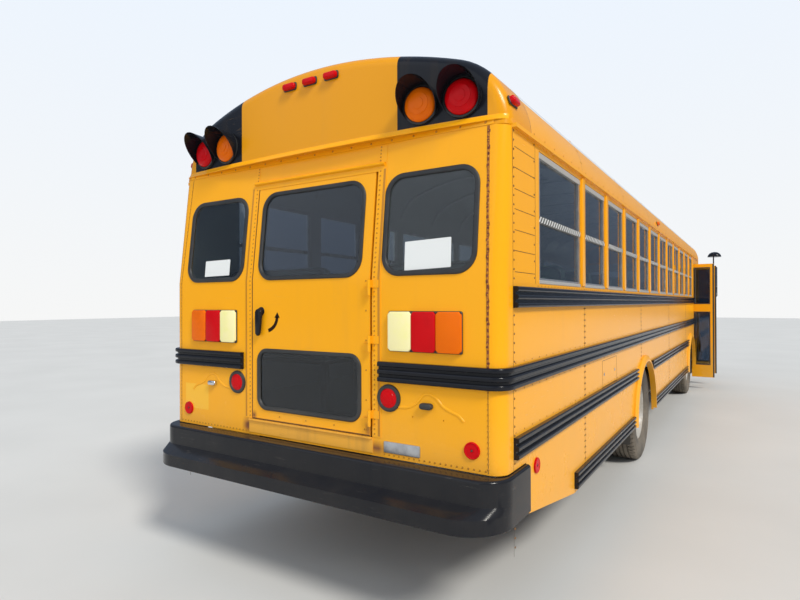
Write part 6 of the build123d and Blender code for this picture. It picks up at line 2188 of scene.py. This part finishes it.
@dataclass
class FrontTrim:
    """Wipers, mirror glasses, seams and rivets of the front face."""

    wiper_x: float = 0.42
    mirror_middle: float = 1.4805

    def build(self) -> Pieces:
        """Makes the trim and returns the new pieces."""
        arms, blades, glasses, rivets, seams = new_meshes(5)
        for side in (-1, 1):
            self.wiper(arms, blades, side)
            for low, high, bulge in ((1.960, 2.385, 0.0), (1.788, 1.940, 0.006)):
                spot = facing_back((side * self.mirror_middle, FRONT_FACE + 0.0202, (low + high) / 2))
                add_pad(glasses, spot, (0.116, high - low), 0.003 + bulge, 0.022, 4, 0.0015 + bulge * 0.7, 3)
        rows = [
            RivetRow((start, FRONT_FACE, z), (end, FRONT_FACE, z), 0.053, (0, 1, 0))
            for start, end, z in ((-1.06, 1.06, 1.292), (-1.06, -0.60, 0.862), (0.60, 1.06, 0.862))
        ]
        for x in (-1.07, 1.07):
            rows.append(RivetRow((x, FRONT_FACE, 0.880), (x, FRONT_FACE, 1.275), 0.053, (0, 1, 0)))
            rows.append(row_between(front_frame(x, 1.345), front_frame(x, 2.500), 0.053))
        rows.append(row_between(front_frame(-1.05, 2.520), front_frame(1.05, 2.520), 0.135))
        add_rivets(rivets, rows)
        for x in (-0.560, 0.560):
            add_pad(seams, front_frame(x, 1.050), (0.003, 0.390), 0.0008)
        for z in (0.855, 1.245):
            add_pad(seams, front_frame(0.0, z), (1.123, 0.003), 0.0008)
        for x in (-0.53, 0.53):
            for z in (0.90, 1.20):
                lock = ((0.0, 0.006), (0.010, 0.006), (0.014, 0.003), (0.015, 0.0))
                add_turned(arms, front_frame(x, z), lock, 16)
        return finish_rows(
            (arms, "wiper_arms_and_panel_locks", Finish.BLACK), (blades, "wiper_blades", Finish.RUBBER),
            (glasses, "mirror_glasses", Finish.MIRROR), (rivets, "front_rivets", Finish.RIVET),
            (seams, "front_panel_seams", Finish.SEAM),
        )

    def wiper(self, arms: Mesh, blades: Mesh, side: int) -> None:
        """Adds a wiper that stands upright on its pane."""
        def on_glass(x: float, z: float, out: float) -> Point:
            """Point in front of the windshield."""
            return tuple(front_frame(side * x, z, out).translation)

        add_turned(arms, front_frame(side * self.wiper_x, 1.308),
                   ((0.0, 0.034), (0.012, 0.034), (0.016, 0.028), (0.018, 0.008), (0.026, 0.0)), 20)
        add_run(arms, [on_glass(self.wiper_x, 1.308, 0.028), on_glass(self.wiper_x - 0.010, 1.500, 0.038),
                       on_glass(self.wiper_x - 0.030, 1.770, 0.030)], 0.0055)
        ends = (on_glass(self.wiper_x + 0.005, 1.470, 0.016), on_glass(self.wiper_x - 0.065, 2.070, 0.016))
        add_run(blades, ends, 0.0065)
        for share in (0.12, 0.38, 0.62, 0.88):
            spot = Vector(ends[0]).lerp(Vector(ends[1]), share)
            add_run(arms, [tuple(spot), on_glass(self.wiper_x - 0.030, 1.770, 0.026)], 0.0028, 6)


@dataclass
class MovingTrim:
    """Details that ride the doors, the hatches and the stop arm."""

    leaf_start: float = 1.181
    leaf_end: float = 1.560
    leaves: tuple[tuple[str, float], ...] = (("entrance_leaf_rear", 9.674), ("entrance_leaf_front", 10.406))
    hatches: tuple[tuple[str, float], ...] = (("rear", 3.300), ("front", 7.650))
    stop_x: float = -1.281
    stop_place: Pair = (9.249, 1.492)
    stop_width: float = 0.450

    def build(self) -> Pieces:
        """Makes the details and returns the new pieces."""
        pieces = []
        for leaf, distance in self.leaves:
            pieces += self.leaf(leaf, station(distance), 1 if distance < 10 else -1)
        for word, distance in self.hatches:
            pieces += self.hatch(word, station(distance))
        return pieces + self.stop_arm() + self.door()

    def leaf(self, name: str, y: float, inward: int) -> Pieces:
        """Rubber edge, window rubbers and grab bar of one entrance leaf."""
        rubber, bar = bmesh.new(), bmesh.new()
        low = (self.leaf_end - 0.030, y - 0.0206, 0.2255)
        add_block(rubber, low, (self.leaf_end + 0.0004, y + 0.0206, 2.3875), 0.008, 3)
        low_x, high_x = self.leaf_start + 0.042, self.leaf_end - 0.076
        for low, high in ((1.633, 2.311), (0.472, 1.465)):
            for face in (-1, 1):
                spot = frame_at(((low_x + high_x) / 2, y + face * 0.020, (low + high) / 2),
                                (-face, 0, 0), (0, 0, 1))
                self.frame_pad(rubber, spot, (high_x - low_x, high - low))
        out = y + inward * 0.020
        grip = out + inward * 0.034
        for z in (0.985, 1.415):
            add_run(bar, [(1.255, out, z), (1.255, grip, z)], 0.008)
        add_run(bar, [(1.255, grip, 0.965), (1.255, grip, 1.435)], 0.011, 14)
        return finish_rows(
            (rubber, name + "_rubbers", Finish.RUBBER, name),
            (bar, name + "_grab_bar", Finish.ALUMINIUM, name),
        )

    def frame_pad(self, shape: Mesh, spot: Matrix, size: Pair) -> None:
        """Adds a flat rubber frame round an opening."""
        width, height = size
        for x, z, w, h in (
            (0, height / 2 + 0.004, width + 0.024, 0.016), (0, -height / 2 - 0.004, width + 0.024, 0.016),
            (width / 2 + 0.004, 0, 0.016, height), (-width / 2 - 0.004, 0, 0.016, height),
        ):
            add_pad(shape, spot @ shift(x, z, 0), (w, h), 0.004, 0.003, 1, 0.0015, 1)

    def hatch(self, word: str, y: float) -> Pieces:
        """Lid of one roof hatch with a raised middle, and the rubber under it."""
        lid, rubber = bmesh.new(), bmesh.new()
        spot = shift(0, y, 3.066)
        add_pad(lid, spot, (0.700, 0.700), 0.036, 0.098, 8, 0.014, 4)
        add_pad(lid, spot @ shift(0, 0, 0.034), (0.540, 0.540), 0.004, 0.070, 6, 0.002, 2)
        add_pad(rubber, spot @ shift(0, 0, -0.004), (0.664, 0.664), 0.0045, 0.082, 8)
        body = "hatch_" + word
        return finish_rows(
            (lid, f"hatch_lid_{word}_pressed", Finish.WHITE, body, ["hatch_lid_" + word]),
            (rubber, f"hatch_rubber_{word}", Finish.RUBBER, body),
        )

    def stop_arm(self) -> Pieces:
        """White border and lamps of the stop arm, which stays blank."""
        border, lamps, bases = bmesh.new(), bmesh.new(), bmesh.new()
        for face in (-1, 1):
            spot = facing_side(face, at(self.stop_x + face * 0.003, *self.stop_place))
            half = self.stop_width / 2
            outer, inner = ((half - inset) / math.cos(math.pi / 8) for inset in (0.006, 0.020))
            turned = spot @ about_z(math.pi / 8)
            add_turned(border, turned, ((outer, 0.0), (outer, 0.0012), (inner, 0.0012), (inner, 0.0)), 8)
            for z in (-0.150, 0.150):
                lamp = spot @ shift(0, z, 0)
                add_turned(bases, lamp, ((0.036, 0.002), (0.038, 0.011), (0.046, 0.010), (0.048, 0.0)), 28)
                dome = ((0.0, 0.019), (0.014, 0.0185), (0.015, 0.017), (0.030, 0.015), (0.037, 0.009),
                        (0.037, 0.002))
                add_turned(lamps, lamp, dome, 28)
        return finish_rows(
            (border, "stop_arm_border", Finish.WHITE, "stop_arm"),
            (bases, "stop_arm_lamp_bases", Finish.RUBBER, "stop_arm"),
            (lamps, "stop_arm_lenses", Finish.RED_LENS, "stop_arm"),
        )

    def door(self) -> Pieces:
        """Panic bar and latch rod inside the emergency door."""
        bar = bmesh.new()
        y, z = REAR_FACE + 0.050, 1.560
        add_run(bar, [(-0.385, y - 0.02, z), (-0.385, y, z), (0.20, y, z), (0.20, y - 0.02, z)], 0.011, 14)
        add_run(bar, [(-0.385, y, z), (-0.385, y, 1.455)], 0.009)
        piece = finish_piece(bar, "emergency_door_inside_bar", Finish.ALUMINIUM, "emergency_door")
        return [piece, self.handle()]

    def handle(self) -> Piece:
        """Boss and tapered lever of the emergency door's handle."""
        shape, lever = bmesh.new(), bmesh.new()
        boss = ((0.0, 0.024), (0.016, 0.024), (0.018, 0.021), (0.018, 0.006), (0.026, 0.004), (0.027, 0.0))
        add_turned(shape, rear_frame(-0.366, 1.611), boss, 28)
        length, top_width = 0.166, 0.054
        add_pad(lever, Matrix(), (top_width, length), 0.019, top_width * 0.48, 6, 0.006, 3)
        for vert in lever.verts:
            share = 0.5 - vert.co.y / length
            vert.co.x = vert.co.x * (1 - 0.40 * share) - 0.010 * share
            vert.co.z *= 1 - 0.15 * share
        stamp(shape, lever, [rear_frame(-0.366, 1.543, 0.013)])
        return finish_piece(
            shape, "emergency_door_lever", Finish.BLACK, "emergency_door", ["emergency_door_handle"]
        )


@dataclass
class Underbody:
    """Clamps, bolts, straps and dampers below the floor."""

    spring_x: float = 0.392
    axles: tuple[tuple[float, float, float], ...] = ((3.930, 0.425, 0.10), (8.960, 0.470, 0.07))
    rail_x: float = 0.430
    tank: tuple[float, float, float, float] = (0.480, 1.060, 0.470, 0.820)

    def build(self) -> Pieces:
        """Makes the parts and returns the new pieces."""
        clamps, bolts, straps, dampers = new_meshes(4)
        for side in (-1, 1):
            for distance, bottom, reach in self.axles:
                self.spring_clamp(clamps, side * self.spring_x, distance, bottom, reach)
                self.damper(dampers, side, distance)
            rows = [
                RivetRow(at(side * self.rail_x, start, z), at(side * self.rail_x, end, z), 0.11,
                         (side, 0, 0), 0.010, 0.006)
                for z in (0.705, 0.868)
                for start, end in ((0.25, 3.0), (3.1, 5.0), (6.6, 8.2), (9.6, 10.7))
            ]
            add_rivets(bolts, rows)
        for distance in (5.420, 6.160):
            self.strap(straps, station(distance))
        add_turned(straps, facing_back(at(0.770, 5.150, 0.745)),
                   ((0.0, 0.030), (0.034, 0.030), (0.038, 0.024), (0.038, 0.0)), 24)
        for distance in (4.990, 5.600, 6.020, 7.130, 7.900, 8.800):
            wide = 6.0 < distance < 7.15
            spot = facing_back(at(-0.262, distance, 0.560 if wide else 0.600))
            radius = 0.100 if wide else 0.038
            section = ((radius, 0.014), (radius + 0.005, 0.014), (radius + 0.005, -0.014), (radius, -0.014))
            add_turned(straps, spot, section, 28)
            top = spot.translation.z + radius
            add_run(straps, [at(-0.262, distance, top), at(-0.262, distance, 0.690),
                             at(-0.356, distance, 0.690)], 0.006)
        return finish_rows(
            (clamps, "spring_clamps", Finish.CHASSIS), (bolts, "frame_bolts", Finish.CHASSIS),
            (straps, "tank_straps_and_exhaust_clamps", Finish.NUT), (dampers, "dampers", Finish.CHASSIS),
        )

    def spring_clamp(self, shape: Mesh, x: float, distance: float, bottom: float, reach: float) -> None:
        """Adds two U bolts and a plate that hold a spring to its axle."""
        for dy in (-reach * 0.75, reach * 0.75):
            y = station(distance) + dy
            low, high = x - 0.046, x + 0.046
            legs = [(low, y, bottom), (low, y, 0.6575), (high, y, 0.6575), (high, y, bottom)]
            add_run(shape, legs, 0.0075, 10)
        add_block(shape, (x - 0.062, station(distance) - reach, bottom + 0.008),
                  (x + 0.062, station(distance) + reach, bottom + 0.024), 0.004)
        for dx in (-0.046, 0.046):
            for dy in (-reach * 0.75, reach * 0.75):
                spot = shift(x + dx, station(distance) + dy, bottom - 0.006)
                nut = ((0.0, 0.0), (0.012, 0.0), (0.013, 0.002), (0.013, 0.014), (0.0, 0.014))
                add_turned(shape, spot, nut, 6)
        for gap in (-0.42, -0.26, 0.26, 0.42):
            add_block(shape, (x - 0.041, station(distance + gap) - 0.012, 0.600),
                      (x + 0.041, station(distance + gap) + 0.012, 0.6575), 0.002)

    def damper(self, shape: Mesh, side: int, distance: float) -> None:
        """Adds a telescopic damper between the frame and the axle."""
        top = Vector(at(side * 0.478, distance - 0.300, 0.830))
        foot = Vector(at(side * 0.478, distance - 0.085, 0.545))
        middle = top.lerp(foot, 0.5)
        add_run(shape, [tuple(top), tuple(middle)], 0.032, 20)
        add_run(shape, [tuple(middle), tuple(foot)], 0.024, 20)
        for end in (top, foot):
            ends = [(end.x + side * dx, end.y, end.z) for dx in (-0.046, 0.020)]
            add_run(shape, ends, 0.016, 14)

    def strap(self, shape: Mesh, y: float) -> None:
        """Adds a steel strap round the fuel tank."""
        x0, x1, z0, z1 = self.tank
        middle = Vector(((x0 + x1) / 2, y - 0.022, (z0 + z1) / 2))
        outline = rounded_ring((x1 - x0, z1 - z0), 0.060, 0.0635, 16)
        push_outline(shape, [middle + Vector((u, 0, v)) for u, v in outline], (0, 0.044, 0))


@dataclass
class CabDetails:
    """Gauges, switches, pedals, grip rings and floor strips inside."""

    def build(self) -> Pieces:
        """Makes the details and returns the new pieces."""
        dials, rings, black, steel, strips = new_meshes(5)
        face = station(10.660)
        for k, radius in enumerate((0.034, 0.048, 0.048, 0.034)):
            x = -0.960 + (0.0, 0.105, 0.225, 0.330)[k]
            spot = facing_back((x, face, 1.262))
            add_turned(rings, spot, ((radius, 0.0), (radius, 0.006), (radius - 0.005, 0.007),
                                     (radius - 0.007, 0.002)), 32)
            add_turned(dials, spot, ((0.0, 0.0015), (radius - 0.006, 0.0015), (radius - 0.006, 0.0)), 32)
            needle = spot @ about_z(0.7 + 0.5 * k)
            add_block(rings, (-0.0012, -0.004, 0.0016), (0.0012, radius * 0.72, 0.003), 0.0, turn=needle)
        for k in range(8):
            spot = facing_back((-1.070 + 0.026 * k, face, 1.222))
            add_pad(black, spot, (0.018, 0.026), 0.007, 0.002, 1, 0.003, 2)
        for x, z, width in ((-0.680, 1.030, 0.075), (-0.850, 1.035, 0.075)):
            pedal = frame_at(at(x, 10.700, z), (1, 0, 0), (0, 0.35, 0.94))
            add_pad(black, pedal, (width, 0.120), 0.014, 0.012, 3, 0.004, 2)
            for k in range(5):
                spot = pedal @ shift(0, -0.044 + 0.022 * k, 0.013)
                add_pad(black, spot, (width - 0.012, 0.008), 0.004, rim=0.0015, rounds=1)
            add_run(steel, [at(x, 10.714, z), at(x, 10.760, z + 0.050)], 0.009)
        add_run(steel, [at(-0.470, 10.25, 1.290), at(-0.480, 10.30, 1.480)], 0.008)
        bmesh.ops.create_uvsphere(black, u_segments=16, v_segments=10, radius=0.024,
                                  matrix=shift(-0.480, station(10.30), 1.490))
        hub = frame_at(at(-0.800, 10.560, 1.640), (1, 0, 0), (0, math.cos(math.radians(32)),
                                                                  math.sin(math.radians(32))))
        add_turned(black, hub @ shift(0, 0, 0.003),
                   ((0.0, 0.022), (0.030, 0.021), (0.050, 0.015), (0.060, 0.004), (0.060, 0.0)), 32)
        for x in (-0.432, 0.432):
            for k in range(4):
                spot = side_frame(1 if x > 0 else -1, 9.80 + 0.32 * k, 1.12, abs(x) - HALF + 0.018)
                add_pad(steel, spot, (0.030, 0.075), 0.012, 0.004, 2, 0.003, 2)
        for k in range(9):
            x = -0.180 + 0.045 * k
            low, high = at(x - 0.010, 0.35, 0.9451), at(x + 0.010, 9.60, 0.9485)
            add_block(strips, low, high, 0.0015, 1)
        for z, x in ((0.290 + 0.2183, 1.13), (0.290 + 0.4367, 0.93), (0.943, 0.75)):
            low, high = at(x - 0.005, 9.66, z - 0.010), at(x + 0.012, 10.42, z + 0.004)
            add_block(strips, low, high, 0.003)
        for x, y in ((0.52, station(9.62)), (-0.52, station(9.50))):
            add_run(steel, [(x, y, 0.946), (x, y, 2.00), (x + math.copysign(0.60, x), y, 2.00)], 0.016, 16)
        return finish_rows(
            (dials, "gauge_faces", Finish.STICKER), (rings, "gauge_rings", Finish.CHROME),
            (black, "switches_and_pedals", Finish.PLASTIC),
            (steel, "rods_rails_and_latches", Finish.ALUMINIUM),
            (strips, "aisle_ribs_and_nosings", Finish.PLASTIC),
        )


def main() -> None:
    """Builds the looks piece by piece."""
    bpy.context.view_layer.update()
    Studio().build()
    LOG.info("dressed %d parts", Dressing().dress(FRAME["nodes"]))
    makers = (
        RearCap(),
        Seals(),
        RearLamps("rear", "rear_lamps"),
        FrontLamps("front", "front_lamps"),
        RearTrim(),
        Rivets(),
        Tyres(),
        WheelNuts(),
        Benches(),
        DriverSeat(),
        WindowTrim(),
        FrontTrim(),
        MovingTrim(),
        Underbody(),
        CabDetails(),
    )
    for maker in makers:
        for piece in maker.build():
            LOG.info("%s: %d faces", piece.name, len(piece.data.polygons))


if __name__ == "__main__":
    logging.basicConfig(level=logging.INFO, format="%(message)s")
    for thing in list(bpy.data.objects):
        bpy.data.objects.remove(thing)
    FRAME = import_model()
    main()
    bpy.context.scene.view_settings.view_transform = "Standard"
